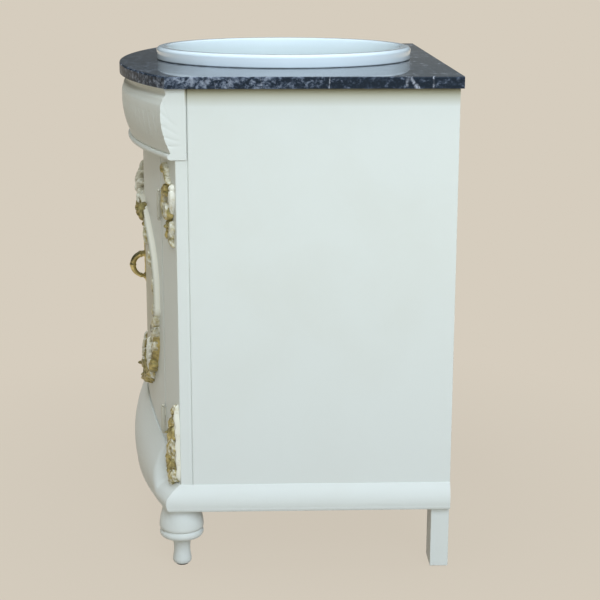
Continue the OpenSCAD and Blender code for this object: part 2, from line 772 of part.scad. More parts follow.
// Bow of round bar that stands in a plane square to the door, with a foot at each end.
module pull() {
  color(gilt) difference() {
    pull_place(plate_t + seat_play) union() {
      rotate([90, 0, 0]) rotate([0, -90, 0]) pull_bow();
      for (k = [-1, 1]) translate([0, 0, k * pull_r]) rotate([90, 0, 0])
        cylinder(r = pull_bar_r + 2, h = 3, $fn = 48);
    }
    screw_places() translate([0, door_t, 0]) rotate([90, 0, 0])
      cylinder(r = screw_r + bore_play, h = door_t + plate_t + 12, $fn = 32);
  }
}

// Half ring in the XY plane, open towards -X.
module pull_bow() {
  intersection() {
    rotate_extrude($fn = 96) translate([pull_r, 0]) circle(r = pull_bar_r, $fn = 40);
    translate([0, -far / 2, -far / 2]) cube([far, far, far]);
  }
}

module pull_screws() {
  color(steel) screw_places() translate([0, door_t + 0.6, 0]) rotate([90, 0, 0]) union() {
    cylinder(r = screw_r, h = door_t + plate_t + 9, $fn = 32);
    translate([0, 0, -2.6]) cylinder(r = 4, h = 2.6, $fn = 32);
  }
}

// One section of a barrel, bored for its pin.
module knuckle(z0, z1, bore_r) {
  translate([hinge_x, hinge_y, 0]) difference() {
    translate([0, 0, z0]) cylinder(r = barrel_r, h = z1 - z0, $fn = 48);
    translate([0, 0, z0 - 1]) cylinder(r = bore_r, h = z1 - z0 + 2, $fn = 48);
  }
}

// Flat leaf beside the gap's middle, and the neck that joins it to a section of the barrel.
module hinge_leaf(x0, z, neck_z0, neck_z1) {
  x1 = x0 + hinge_leaf_t;
  barrel_y = hinge_y + barrel_r;
  box([x0, barrel_y + knuckle_gap, z - hinge_l / 2], [x1, barrel_y + leaf_d, z + hinge_l / 2]);
  box([x0, hinge_y + hinge_pin_r + 0.7, neck_z0], [x1, barrel_y + 1, neck_z1]);
}

module hinge_frame_leaves() {
  color(brass) for (side = [1, -1]) on_side(side) for (z = hinge_zs) union() {
    for (ends = [[-hinge_l / 2, -knuckle_l / 2 - knuckle_gap], [knuckle_l / 2 + knuckle_gap, hinge_l / 2]]) {
      knuckle(z + ends[0], z + ends[1], hinge_pin_r + bore_play);
      hinge_leaf(hinge_x + knuckle_gap / 2, z, z + ends[0], z + ends[1]);
    }
  }
}

module hinge_door_leaves() {
  color(brass) for (z = hinge_zs) union() {
    knuckle(z - knuckle_l / 2, z + knuckle_l / 2, hinge_pin_r + pin_play);
    hinge_leaf(hinge_x - knuckle_gap / 2 - hinge_leaf_t, z, z - knuckle_l / 2, z + knuckle_l / 2);
  }
}

module hinge_pins() {
  end_r = barrel_r - 0.5;
  color(brass) for (side = [1, -1]) on_side(side) for (z = hinge_zs) translate([hinge_x, hinge_y, z]) union() {
    translate([0, 0, -hinge_l / 2 - 1]) cylinder(r = hinge_pin_r, h = hinge_l + 2, $fn = 48);
    for (k = [-1, 1]) translate([0, 0, k * (hinge_l / 2 + end_r + 0.1)]) sphere(r = end_r, $fn = 32);
  }
}

module catch_magnets() {
  end_x = catch_x + catch_w;
  face_y = bow_y(end_x, strike_r - strike_t) + catch_gap;
  color("dimgray") for (side = [1, -1]) on_side(side)
    box([catch_x, face_y, frieze_z - catch_h], [end_x, face_y + catch_d, frieze_z]);
}

module strike() {
  x0 = catch_x + 2;
  x1 = catch_x + catch_w - 2;
  color(steel) bow_band(strike_r, strike_r - strike_t, x0, x1, frieze_z - catch_h, door_top - 0.5);
}

counter_top();
basin();
side_panel();  // side_panel_right
on_side(-1) side_panel();  // side_panel_left
front_post();  // front_post_right
on_side(-1) front_post();  // front_post_left
frieze();
frieze_bead();
skirt();
bottom_rail();
base_moulding();  // base_moulding_right
on_side(-1) base_moulding();  // base_moulding_left
bottom_panel();
back_panel();
back_rail();
shelf();
shelf_pins();
corner_blocks();
rear_leg();  // rear_leg_right
on_side(-1) rear_leg();  // rear_leg_left
front_foot();  // front_foot_right
on_side(-1) front_foot();  // front_foot_left
foot_bolts();
glides();
upper_drop();  // upper_drop_right
on_side(-1) upper_drop();  // upper_drop_left
lower_drop();  // lower_drop_right
on_side(-1) lower_drop();  // lower_drop_left
door() screw_holes();  // door_right
on_side(-1) door();  // door_left
scroll_frame();  // scroll_frame_right
on_side(-1) scroll_frame();  // scroll_frame_left
crest();  // crest_right
on_side(-1) crest();  // crest_left
shell();  // shell_right
on_side(-1) shell();  // shell_left
pull_plate();
pull();
pull_screws();
hinge_frame_leaves();
hinge_door_leaves();  // hinge_leaves_right
on_side(-1) hinge_door_leaves();  // hinge_leaves_left
hinge_pins();
catch_magnets();
strike();  // strike_right
on_side(-1) strike();  // strike_left
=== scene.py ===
"""Looks of a bow-fronted vanity unit, dressed round its CAD frame. Metres, +Z up, the front faces -Y."""

import json
import math

import bmesh
import bpy
from bpy.props import FloatProperty, FloatVectorProperty, IntProperty, PointerProperty
from mathutils import Matrix, Vector

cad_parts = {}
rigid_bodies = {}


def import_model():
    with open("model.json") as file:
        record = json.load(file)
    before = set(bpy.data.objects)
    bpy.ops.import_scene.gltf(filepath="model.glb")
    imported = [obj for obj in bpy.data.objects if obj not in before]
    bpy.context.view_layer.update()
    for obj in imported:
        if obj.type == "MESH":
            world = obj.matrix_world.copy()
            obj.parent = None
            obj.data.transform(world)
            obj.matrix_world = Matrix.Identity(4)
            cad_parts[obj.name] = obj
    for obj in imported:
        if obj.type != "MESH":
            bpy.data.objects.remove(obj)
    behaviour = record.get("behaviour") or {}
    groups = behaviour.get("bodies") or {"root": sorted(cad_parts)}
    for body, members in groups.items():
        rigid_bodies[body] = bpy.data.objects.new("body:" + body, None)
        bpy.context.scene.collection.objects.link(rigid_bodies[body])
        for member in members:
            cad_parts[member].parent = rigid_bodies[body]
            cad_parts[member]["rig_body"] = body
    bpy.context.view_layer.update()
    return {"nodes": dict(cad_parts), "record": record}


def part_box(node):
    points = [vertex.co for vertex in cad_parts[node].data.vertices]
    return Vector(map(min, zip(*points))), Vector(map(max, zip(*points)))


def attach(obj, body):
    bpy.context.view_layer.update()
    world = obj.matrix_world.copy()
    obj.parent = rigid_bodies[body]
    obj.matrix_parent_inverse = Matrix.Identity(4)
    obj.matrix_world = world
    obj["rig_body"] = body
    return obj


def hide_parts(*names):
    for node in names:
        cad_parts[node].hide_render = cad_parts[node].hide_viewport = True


bl_info = {
    "name": "Bow-fronted vanity unit",
    "version": (1, 0, 0),
    "blender": (4, 5, 0),
    "location": "View3D > Sidebar > Vanity",
    "description": "Dresses the vanity unit in paint, gilding, carving, stone and glaze",
    "category": "Object",
}

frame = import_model()

STONE_LOW, STONE_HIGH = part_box("counter_top")
BASIN_LOW, BASIN_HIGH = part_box("basin")
FRIEZE_LOW, FRIEZE_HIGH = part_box("frieze")
DOOR_LOW, DOOR_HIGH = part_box("door_right")
POST_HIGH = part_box("front_post_right")[1]
FOOT_LOW, FOOT_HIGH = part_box("front_foot_right")
BAND_LOW, BAND_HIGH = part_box("base_moulding_right")
FRAME_LOW, FRAME_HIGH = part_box("scroll_frame_right")
PLATE_LOW, PLATE_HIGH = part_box("pull_plate")
PULL_LOW, PULL_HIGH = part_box("pull")
RAIL_TOP_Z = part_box("bottom_rail")[1].z
SIDE_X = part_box("side_panel_right")[1].x
INNER_FLOOR_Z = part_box("bottom_panel")[1].z

CABINET = "cabinet"
RIGHT_DOOR = "right_door"
LEFT_DOOR = "left_door"

OVAL_POWER = 2.7  # the scroll frame's outline, between an ellipse's 2 and a rectangle
MERGE = 2e-6  # points closer than this are one, in metres
CAD_MERGE = 1e-5  # the same for the loose triangles of a CAD node
SPECK = 1e-7  # edges shorter than this are dropped
FLAT_UNDER = 0.4  # faces of a CAD node that turn by less are one, in degrees
EASED_OVER = 28.0  # edges of a CAD node that turn by more are worn round
SMOOTH_UNDER = 32.0  # edges that turn by less are shaded smooth
EASED_SMOOTH_UNDER = 40.0  # the same where the edges are worn round


def smooth_step(low, high, value):
    """0 below low, 1 above high, and a smooth rise between them."""
    t = min(1.0, max(0.0, (value - low) / (high - low)))
    return t * t * (3 - 2 * t)


def hump(distance, width):
    """1 at no distance, fading to nothing over about twice the width."""
    return math.exp(-((distance / width) ** 2))


class Bow:
    """A bowed upright face: in plan an arc through two corners, with its apex between them."""

    def __init__(self, half_width, depth, apex_y):
        self.radius = (half_width**2 + depth**2) / (2 * depth)
        self.centre_y = apex_y + self.radius

    def spot(self, x, z, out=0.0):
        """The point out in front of the face at x and z, square to the bow."""
        sine = x / self.radius
        cosine = math.sqrt(1 - sine * sine)
        return Vector((x + out * sine, self.centre_y - (self.radius + out) * cosine, z))


def metres(name, description, value):
    """A length property."""
    return FloatProperty(name=name, description=description, default=value, unit="LENGTH")


def degrees(name, description, value):
    """An angle property, its default given in degrees."""
    return FloatProperty(name=name, description=description, default=math.radians(value), subtype="ANGLE")


def colour(name, description, value):
    """A colour property with its default, scene linear."""
    return FloatVectorProperty(
        name=name, description=description, default=value, subtype="COLOR", size=3, min=0, max=1
    )


class VanitySizes(bpy.types.PropertyGroup):
    """Sizes of the details that the CAD frame doesn't hold."""

    body_bow: metres("Body bow", "How far the cabinet's front bows out from its corners", 0.078)
    frieze_bow: metres("Frieze bow", "How far the frieze bows out from its corners", 0.0917)
    edge: metres("Eased edge", "Radius of the worn edges of the panels", 0.0012)
    flute_pitch: metres("Flute pitch", "Width of one carved tongue of the frieze", 0.0245)
    flute_depth: metres("Flute depth", "Depth of the carved lines of the frieze", 0.0013)
    bead_rise: metres("Base bead rise", "How far the bead along the base's edge stands out", 0.0011)
    frame_width: metres("Scroll width", "Width of the scroll frame's moulding", 0.017)
    pull_bar: metres("Pull bar", "Radius of the pull's bar at its thickest", 0.0062)
    turning: IntProperty(
        name="Turning steps", description="Faces round a thrown piece", default=128, min=48, max=256
    )


class VanityColours(bpy.types.PropertyGroup):
    """Colours of the finishes."""

    cream: colour("Cream", "Cream paint", (0.765, 0.79, 0.735))
    cream_shade: colour("Cream shade", "Cream paint where it is thin or toned", (0.71, 0.715, 0.635))
    cream_low: colour("Cream low down", "Cream paint towards the floor", (0.70, 0.73, 0.715))
    # Painted shadow: a dark cream that stands for the stone's shadow in a band just under it
    cream_painted_shadow: colour("Stained cream", "Cream paint in the line under the stone", (0.37, 0.34, 0.2))
    # Painted shade: the doors' middle, turned from the key lamp, is darkened within the scroll frame
    cream_doors_painted_shade: colour("Cream of the doors", "Cream paint within the scroll frame", (0.60, 0.575, 0.45))
    # Painted shade: the barrels' paint is darkened so that their lit sides read as dark as the shaded doors
    hinge_shaded_light: colour("Hinge paint", "Paint over the hinges' barrels", (0.62, 0.595, 0.49))
    hinge_shaded_dark: colour("Dark hinge paint", "Paint over the barrels where toned", (0.57, 0.545, 0.445))
    # Painted light: the carving's cream is warmer, and lighter than the panels' so that it reads as lit by
    # the key lamp
    carved: colour("Carved cream", "Cream paint on the carving", (0.85, 0.81, 0.66))
    gold: colour("Gold", "Rubbed gold leaf", (0.60, 0.50, 0.20))
    gold_light: colour("Light gold", "Gold leaf where it is brightest", (0.80, 0.72, 0.42))
    gold_dark: colour("Dark gold", "Gold leaf toned with umber", (0.20, 0.165, 0.07))
    # Umber: toning in the carving's hollows, and painted shade on the scroll frame's front face
    umber: colour("Umber", "Toning in the hollows of the carving", (0.085, 0.062, 0.028))
    stone_dark: colour("Dark stone", "Ground of the stone", (0.012, 0.020, 0.031))
    stone_grey: colour("Grey stone", "Edges of the clouds in the stone", (0.026, 0.038, 0.058))
    stone_cloud: colour("Stone clouds", "Clouds in the stone", (0.115, 0.14, 0.185))
    stone_blot: colour("Stone blots", "Palest blots in the clouds", (0.30, 0.335, 0.39))
    stone_vein: colour("Stone veins", "Pale veins in the stone", (0.52, 0.55, 0.62))
    stone_crystal: colour("Stone crystals", "Fine sparkle in the stone", (0.22, 0.25, 0.31))
    glaze: colour("Glaze", "Glaze of the basin", (0.76, 0.86, 0.92))
    glaze_pooled: colour("Pooled glaze", "Glaze where it is thick", (0.74, 0.80, 0.83))
    # Painted shade: the glaze is darker down in the bowl
    glaze_bowl_shade: colour("Glaze of the bowl", "Glaze down in the bowl", (0.59, 0.66, 0.67))
    wood: colour("Wood", "Pale wood inside the cabinet", (0.56, 0.4, 0.23))
    plastic_dark: colour("Dark plastic", "Plastic of the glides", (0.03, 0.029, 0.027))
    plastic_light: colour("Light plastic", "Worn plastic of the glides", (0.055, 0.053, 0.05))
    backdrop: colour("Backdrop", "Floor and background", (0.672, 0.610, 0.515))


class VanityLights(bpy.types.PropertyGroup):
    """Camera and lights."""

    camera: FloatVectorProperty(
        name="Camera",
        description="Place of the camera",
        default=(2.8603, -0.0628, 1.1092),
        subtype="XYZ",
        unit="LENGTH",
    )
    pitch: degrees("Pitch", "How far the camera looks down", 13.79)
    yaw: degrees("Yaw", "How far the camera turns from looking along -X", -2.10)
    roll: degrees("Roll", "How far the camera leans", 0.11)
    focal: FloatProperty(
        name="Focal length", description="Lens on a sensor 36 mm wide, in millimetres", default=88.457
    )
    key_power: FloatProperty(
        name="Key light", description="Power of the lamp on the cabinet's side, in watts", default=117.0
    )
    overhead_power: FloatProperty(
        name="Overhead light", description="Power of the lamp over the cabinet, in watts", default=54.0
    )
    ambient: FloatProperty(
        name="Ambient", description="Strength of the light from all round", default=1.0
    )


def body_face():
    """The cabinet's bowed front face, on which the doors and the posts lie."""
    return Bow(SIDE_X, bpy.context.scene.vanity_sizes.body_bow, DOOR_LOW.y)


def basin_round():
    """Centre in plan and outer radius of the basin's rim."""
    rim_r = (BASIN_HIGH.x - BASIN_LOW.x) / 2
    return ((BASIN_LOW.x + BASIN_HIGH.x) / 2, BASIN_HIGH.y - rim_r), rim_r


class Nodes:
    """The nodes of a material or of the world. A value is a number, a colour or a node's output."""

    def __init__(self, owner):
        owner.use_nodes = True
        self.tree = owner.node_tree
        self.tree.nodes.clear()
        self.coordinates = self.make("TexCoord").outputs
        self.place = self.coordinates["Object"]

    def make(self, kind, inputs=None, **settings):
        """A new node with its settings and inputs."""
        made = self.tree.nodes.new(f"ShaderNode{kind}")
        for name, value in settings.items():
            setattr(made, name, value)
        for name, value in (inputs or {}).items():
            self.feed(made.inputs[name], value)
        return made

    def feed(self, socket, value):
        """Joins an output to the socket, or sets the socket to a number or a colour."""
        if isinstance(value, bpy.types.NodeSocket):
            self.tree.links.new(value, socket)
        elif socket.type == "RGBA":
            socket.default_value = (*value, 1.0)
        else:
            socket.default_value = value

    def mapped(self, scale, rotation=(0.0, 0.0, 0.0), location=(0.0, 0.0, 0.0)):
        """Object coordinates, stretched, turned and moved."""
        inputs = {"Vector": self.place, "Scale": scale, "Rotation": rotation, "Location": location}
        return self.make("Mapping", inputs).outputs["Vector"]

    def noise(self, scale, detail=4.0, roughness=0.5, distortion=0.0, place=None):
        """Noise on Object coordinates, or on a place that is given. Its scale is in cells to the metre."""
        inputs = {"Scale": scale, "Detail": detail, "Roughness": roughness, "Distortion": distortion}
        inputs["Vector"] = self.place if place is None else place
        return self.make("TexNoise", inputs).outputs["Fac"]

    def axes(self, place=None):
        """The X, Y and Z of Object coordinates, or of a place that is given."""
        return self.make("SeparateXYZ", {0: self.place if place is None else place}).outputs

    def distance(self, place):
        """How far a place is from the origin."""
        return self.make("VectorMath", {0: place}, operation="LENGTH").outputs["Value"]

    def ramp(self, value, stops):
        """A colour ramp with stops as (place, colour)."""
        made = self.make("ValToRGB", {"Fac": value})
        elements = made.color_ramp.elements
        for _ in stops[2:]:
            elements.new(0.5)
        for element, (position, shade) in zip(elements, stops):
            element.position = position
            element.color = (*shade, 1.0)
        return made.outputs["Color"]

    def spread(self, value, low, high, from_low=0.0, from_high=1.0):
        """The value's run from from_low to from_high, stretched to low and high."""
        inputs = {"Value": value, "To Min": low, "To Max": high}
        inputs.update({"From Min": from_low, "From Max": from_high})
        return self.make("MapRange", inputs).outputs["Result"]

    def sum_of(self, first, second):
        return self.make("Math", {0: first, 1: second}, operation="ADD").outputs[0]

    def product(self, first, second):
        return self.make("Math", {0: first, 1: second}, operation="MULTIPLY").outputs[0]

    def larger(self, first, second):
        return self.make("Math", {0: first, 1: second}, operation="MAXIMUM").outputs[0]

    def size_of(self, value):
        return self.make("Math", {0: value}, operation="ABSOLUTE").outputs[0]

    def power(self, value, exponent):
        return self.make("Math", {0: value, 1: exponent}, operation="POWER").outputs[0]

    def mix(self, share, first, second):
        """The first colour with a share of the second: 6, 7 and 2 are the Mix node's colour sockets."""
        return self.make("Mix", {0: share, 6: first, 7: second}, data_type="RGBA").outputs[2]

    def bump(self, height, strength, depth, below=None):
        inputs = {"Height": height, "Strength": strength, "Distance": depth}
        if below is not None:
            inputs["Normal"] = below
        return self.make("Bump", inputs).outputs["Normal"]

    def mix_shaders(self, share, first, second):
        shaders = {1: first.outputs[0], 2: second.outputs[0]}
        return self.make("MixShader", {"Fac": share, **shaders})

    def end(self, kind, shader):
        """The output node, with the shader that it shows."""
        self.make(kind, {"Surface": shader.outputs[0]})


class Recipe(Nodes):
    """The nodes of one new material."""

    def __init__(self, name):
        self.material = bpy.data.materials.new(name)
        super().__init__(self.material)

    def finished(self, values):
        """The material, with the values that its shader takes."""
        self.end("OutputMaterial", self.make("BsdfPrincipled", values))
        return self.material


def painted_bump(recipe):
    """Brush marks that run up the panels over a fine orange peel."""
    brush = recipe.noise(1.0, 3.0, 0.6, place=recipe.mapped((210.0, 210.0, 14.0)))
    marks = recipe.bump(brush, 0.16, 0.0004)
    return recipe.bump(recipe.noise(620.0, 2.0), 0.05, 0.0003, marks)


def cream_colour(recipe, colours):
    """Cream paint: thinner and warmer in soft patches, cooler low down, with a painted shadow of the stone
    in a band under it.
    """
    thin = recipe.spread(recipe.noise(5.5, 5.0, 0.55, 0.4), 0.0, 0.45, 0.42, 0.8)
    skin = recipe.mix(thin, colours.cream, colours.cream_shade)
    axes = recipe.axes()
    low = recipe.spread(axes["Z"], 0.6, 0.0, 0.1, 0.6)
    skin = recipe.mix(low, skin, colours.cream_low)
    # Painted shadow of the stone: full on the side panels behind the frieze, faint on the frieze itself
    stone_shadow_band = recipe.spread(axes["Z"], 0.0, 1.0, STONE_LOW.z - 0.031, STONE_LOW.z - 0.003)
    behind_frieze = recipe.spread(axes["Y"], 0.2, 0.97, FRIEZE_HIGH.y - 0.002, FRIEZE_HIGH.y)
    return recipe.mix(recipe.product(stone_shadow_band, behind_frieze), skin, colours.cream_painted_shadow)


def within_frame(recipe):
    """1 on the doors' front face within the scroll frame, 0 elsewhere: where the doors' painted shade lies.
    """
    half_h = (FRAME_HIGH.z - FRAME_LOW.z) / 2
    middle_z = (FRAME_HIGH.z + FRAME_LOW.z) / 2
    scale = (1 / FRAME_HIGH.x, 0.0, 1 / half_h)
    axes = recipe.axes(recipe.mapped(scale, location=(0.0, 0.0, -middle_z / half_h)))
    across, up = (recipe.power(recipe.size_of(axes[name]), OVAL_POWER) for name in "XZ")
    inside = recipe.spread(recipe.sum_of(across, up), 1.0, 0.0, 0.72, 0.96)
    bow = body_face()
    reach = recipe.distance(recipe.mapped((1.0, 1.0, 0.0), location=(0.0, -bow.centre_y, 0.0)))
    front = recipe.spread(reach, 0.0, 1.0, bow.radius - 0.008, bow.radius - 0.005)
    return recipe.product(inside, front)


def make_cream(colours):
    """Satin cream paint over wood, with painted shade on the doors within their frame."""
    recipe = Recipe("cream_paint")
    base = recipe.mix(within_frame(recipe), cream_colour(recipe, colours), colours.cream_doors_painted_shade)
    satin = recipe.spread(recipe.noise(24.0, 4.0), 0.36, 0.52)
    values = {"Base Color": base, "Roughness": satin, "Normal": painted_bump(recipe)}
    return recipe.finished({**values, "Specular IOR Level": 0.45})


def make_carved(colours):
    """Cream paint and rubbed gold leaf, as each point's gilt and hollow values say: umber in the hollows,
    which on the scroll frame's front face is painted shade.
    """
    recipe = Recipe("gilded_carving")
    gilt = recipe.make("Attribute", attribute_name="gilt").outputs["Fac"]
    hollow = recipe.make("Attribute", attribute_name="hollow").outputs["Fac"]
    rub = recipe.spread(recipe.noise(170.0, 5.0, 0.65), -0.42, 0.42)
    leafed = recipe.spread(recipe.sum_of(gilt, rub), 0.0, 1.0, 0.36, 0.70)
    stops = [(0.3, colours.gold_dark), (0.62, colours.gold), (0.8, colours.gold_light)]
    gold = recipe.ramp(recipe.noise(90.0, 4.0, 0.6), stops)
    # Painted light: the carving's cream is mixed warmer and lighter than the panels'
    cream = recipe.mix(0.7, cream_colour(recipe, colours), colours.carved)
    toning_and_shade = recipe.spread(hollow, 0.0, 0.78, 0.15, 1.0)
    skin = recipe.mix(toning_and_shade, recipe.mix(leafed, cream, gold), colours.umber)
    values = {"Base Color": skin, "Metallic": recipe.product(leafed, 0.5)}
    values["Roughness"] = recipe.spread(leafed, 0.46, 0.33)
    values["Normal"] = recipe.bump(recipe.noise(420.0, 3.0), 0.22, 0.0005)
    return recipe.finished(values)


def veins(recipe, blots, rearness):
    """Ragged threads that cross the stone, more of them towards its rear."""
    winding = recipe.noise(14.0, 3.0, 0.5, 0.3, recipe.mapped((1.0, 1.0, 0.3), (0.1, 0.06, 0.4)))
    off_line = recipe.size_of(recipe.sum_of(winding, -0.53))
    thread = recipe.spread(off_line, 1.0, 0.0, 0.003, 0.018)
    ragged = recipe.spread(blots, 0.1, 1.0, 0.44, 0.56)
    veined = recipe.spread(rearness, 0.2, 0.8, STONE_LOW.y * 0.3, STONE_HIGH.y * 0.5)
    return recipe.product(recipe.product(thread, ragged), veined)


def make_stone(colours):
    """Black stone with slate clouds and pale veins: honed edges, and a top polished like a mirror."""
    recipe = Recipe("polished_stone")
    turned_place = recipe.mapped((1.0, 1.3, 1.6), (0.5, 0.35, 0.6))
    axes = recipe.axes()
    gather = recipe.spread(recipe.noise(3.4, 3.0, 0.5, 0.5, turned_place), -0.07, 0.05, 0.36, 0.64)
    rearward = recipe.spread(axes["Y"], 0.016, -0.03, STONE_LOW.y * 0.4, STONE_HIGH.y * 0.5)
    blots = recipe.noise(84.0, 7.0, 0.68, 0.35, turned_place)
    field = recipe.sum_of(blots, recipe.sum_of(gather, rearward))
    stops = [(0.45, colours.stone_dark), (0.53, colours.stone_grey)]
    stops += [(0.61, colours.stone_cloud), (0.75, colours.stone_blot)]
    body = recipe.mix(veins(recipe, blots, axes["Y"]), recipe.ramp(field, stops), colours.stone_vein)
    crystals = recipe.make("TexVoronoi", {"Vector": recipe.place, "Scale": 330.0}).outputs["Distance"]
    body = recipe.mix(recipe.spread(crystals, 0.14, 0.0, 0.0, 0.3), body, colours.stone_crystal)
    polish = recipe.spread(axes["Z"], 0.12, 0.76, STONE_HIGH.z - 0.002, STONE_HIGH.z - 0.0004)
    values = {"Base Color": body, "Coat Weight": polish, "Roughness": recipe.spread(polish, 0.4, 0.1)}
    return recipe.finished({**values, "Specular IOR Level": 0.02, "Coat IOR": 1.9, "Coat Roughness": 0.02})


def make_glaze(colours):
    """White sanitary glaze with a hint of pooling, and painted shade down in the bowl."""
    recipe = Recipe("basin_glaze")
    pooled = recipe.spread(recipe.noise(7.0, 3.0), 0.0, 0.35, 0.4, 0.8)
    base = recipe.mix(pooled, colours.glaze, colours.glaze_pooled)
    centre, rim_r = basin_round()
    reach = recipe.distance(recipe.mapped((1.0, 1.0, 0.0), location=(-centre[0], -centre[1], 0.0)))
    # Painted shade: darkens the glaze inside the rim's land, down in the bowl
    bowl = recipe.spread(reach, 0.95, 0.0, rim_r - 0.026, rim_r - 0.015)
    values = {"Base Color": recipe.mix(bowl, base, colours.glaze_bowl_shade)}
    values["Normal"] = recipe.bump(recipe.noise(38.0, 2.0), 0.03, 0.0006)
    return recipe.finished({**values, "Roughness": 0.07, "Coat Weight": 0.5, "Coat Roughness": 0.03})


def make_wood(colours):
    """Sealed pale wood with its grain along the width."""
    recipe = Recipe("bare_wood")
    rings = recipe.noise(1.6, 8.0, 0.62, 1.6, recipe.mapped((3.0, 42.0, 42.0)))
    light = Vector(colours.wood)
    figure = recipe.ramp(rings, [(0.3, light * 0.62), (0.5, light), (0.7, light * 1.22)])
    pores = recipe.noise(1.0, 3.0, place=recipe.mapped((30.0, 900.0, 900.0)))
    values = {"Base Color": recipe.mix(recipe.spread(pores, 0.0, 0.45, 0.55, 0.75), figure, light * 0.45)}
    values["Normal"] = recipe.bump(pores, 0.15, 0.0003)
    return recipe.finished({**values, "Roughness": 0.5})


def make_metal(name, light, dark, rough_low, rough_high, tarnish):
    """Metal with tarnished patches and fine scratches."""
    recipe = Recipe(name)
    patches = recipe.noise(60.0, 6.0, 0.65)
    values = {"Base Color": recipe.mix(recipe.spread(patches, 0.0, tarnish, 0.4, 0.75), light, dark)}
    values["Roughness"] = recipe.spread(patches, rough_low, rough_high, 0.3, 0.7)
    scratches = recipe.noise(1.0, 3.0, place=recipe.mapped((900.0, 900.0, 120.0)))
    values["Normal"] = recipe.bump(scratches, 0.08, 0.0002)
    return recipe.finished({**values, "Metallic": 1.0})


def make_painted_hinge(colours):
    """Paint over the hinges' barrels, darkened as painted shade to the tone of the shaded doors beside them.
    """
    recipe = Recipe("hinge_paint_and_shade")
    stops = [(0.35, colours.hinge_shaded_light), (0.65, colours.hinge_shaded_dark)]
    paint = recipe.ramp(recipe.noise(60.0, 4.0, 0.6), stops)
    return recipe.finished({"Base Color": paint, "Roughness": 0.5})


def make_plastic(colours):
    """Dark moulded plastic with a fine texture."""
    recipe = Recipe("dark_plastic")
    grain = recipe.noise(900.0, 2.0)
    values = {"Base Color": recipe.ramp(grain, [(0.3, colours.plastic_dark), (0.7, colours.plastic_light)])}
    values["Normal"] = recipe.bump(grain, 0.15, 0.0002)
    return recipe.finished({**values, "Roughness": 0.55})


# A metal's values are its name, light and dark colours, least and most roughness, and tarnish.
FINISHES = {
    "cream_paint": make_cream,
    "hinge_paint_and_shade": make_painted_hinge,
    "gilt": make_carved,
    "stone": make_stone,
    "glaze": make_glaze,
    "bare_wood": make_wood,
    "old_brass": lambda c: make_metal("old_brass", (0.80, 0.69, 0.33), (0.2, 0.16, 0.06), 0.26, 0.42, 0.7),
    "brass": lambda c: make_metal("satin_brass", (0.66, 0.5, 0.22), (0.4, 0.29, 0.12), 0.26, 0.38, 0.5),
    "steel": lambda c: make_metal("zinc_steel", (0.6, 0.61, 0.63), (0.38, 0.39, 0.4), 0.28, 0.42, 0.5),
    "dark_plastic": make_plastic,
}
_made_finishes = {}


def finish_for(slot):
    """The material of one of the record's slots, made when it is first asked for."""
    if slot not in _made_finishes:
        _made_finishes[slot] = FINISHES[slot](bpy.context.scene.vanity_colours)
    return _made_finishes[slot]


def record_slot(node):
    """The record's material slot of a CAD node."""
    for part in frame["record"]["subparts"]:
        if part["node"] == node:
            return part["material_slot"]
    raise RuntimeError(f"the record has no subpart {node}")


def both(*names):
    """The right and the left node of each name."""
    return [f"{name}_{side}" for name in names for side in ("right", "left")]


def placed(name, bm):
    """A new object made of bm, which is freed."""
    mesh = bpy.data.meshes.new(name)
    bm.to_mesh(mesh)
    bm.free()
    made = bpy.data.objects.new(name, mesh)
    bpy.context.scene.collection.objects.link(made)
    return made


def merge(bm, distance=MERGE):
    """Makes points of bm that are closer than distance one."""
    bmesh.ops.remove_doubles(bm, verts=bm.verts, dist=distance)


def close_ends(bm):
    """Joins the sheets of bm and fills the holes that are left."""
    merge(bm)
    bmesh.ops.holes_fill(bm, edges=[e for e in bm.edges if e.is_boundary])


def show(name, bm, body, slot, node, finish=None, smooth_under=SMOOTH_UNDER):
    """Makes bm a finished piece that rides on body and stands for a CAD node."""
    merge(bm)
    bmesh.ops.dissolve_degenerate(bm, dist=SPECK, edges=bm.edges)
    bmesh.ops.recalc_face_normals(bm, faces=bm.faces)
    for face in bm.faces:
        face.smooth = True
    for edge in bm.edges:
        if len(edge.link_faces) == 2:
            edge.smooth = edge.calc_face_angle() < math.radians(smooth_under)
    piece = placed(name, bm)
    piece.data.materials.append(finish_for(finish or slot))
    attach(piece, body)
    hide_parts(node)
    return piece


def mirrored(bm):
    """A copy of bm on the other side of the cabinet."""
    other = bm.copy()
    bmesh.ops.scale(other, vec=(-1, 1, 1), verts=other.verts)
    bmesh.ops.reverse_faces(other, faces=other.faces)
    return other


def show_pair(name, bm, slot, node, bodies=(CABINET, CABINET), finish=None):
    """Shows bm on the right and its mirror image on the left, each for its node."""
    left = mirrored(bm)
    show(f"{name}_right", bm, bodies[0], slot, f"{node}_right", finish)
    show(f"{name}_left", left, bodies[1], slot, f"{node}_left", finish)


def ease(node, edge, segments=3, finish=None):
    """Shows a copy of a CAD node with its flat faces joined and its edges worn round."""
    bm = bmesh.new()
    bm.from_mesh(frame["nodes"][node].data)
    merge(bm, CAD_MERGE)
    bmesh.ops.dissolve_limit(bm, angle_limit=math.radians(FLAT_UNDER), verts=bm.verts, edges=bm.edges)
    least = math.radians(EASED_OVER)
    worn = [e for e in bm.edges if len(e.link_faces) == 2 and e.calc_face_angle() > least]
    bmesh.ops.bevel(
        bm,
        geom=worn,
        offset=edge,
        offset_type="OFFSET",
        segments=segments,
        profile=0.5,
        affect="EDGES",
        clamp_overlap=True,
        material=-1,
    )
    body = frame["nodes"][node]["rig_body"]
    piece = show(f"{node}_eased", bm, body, record_slot(node), node, finish, EASED_SMOOTH_UNDER)
    piece.modifiers.new("flat_faces", "WEIGHTED_NORMAL").keep_sharp = True


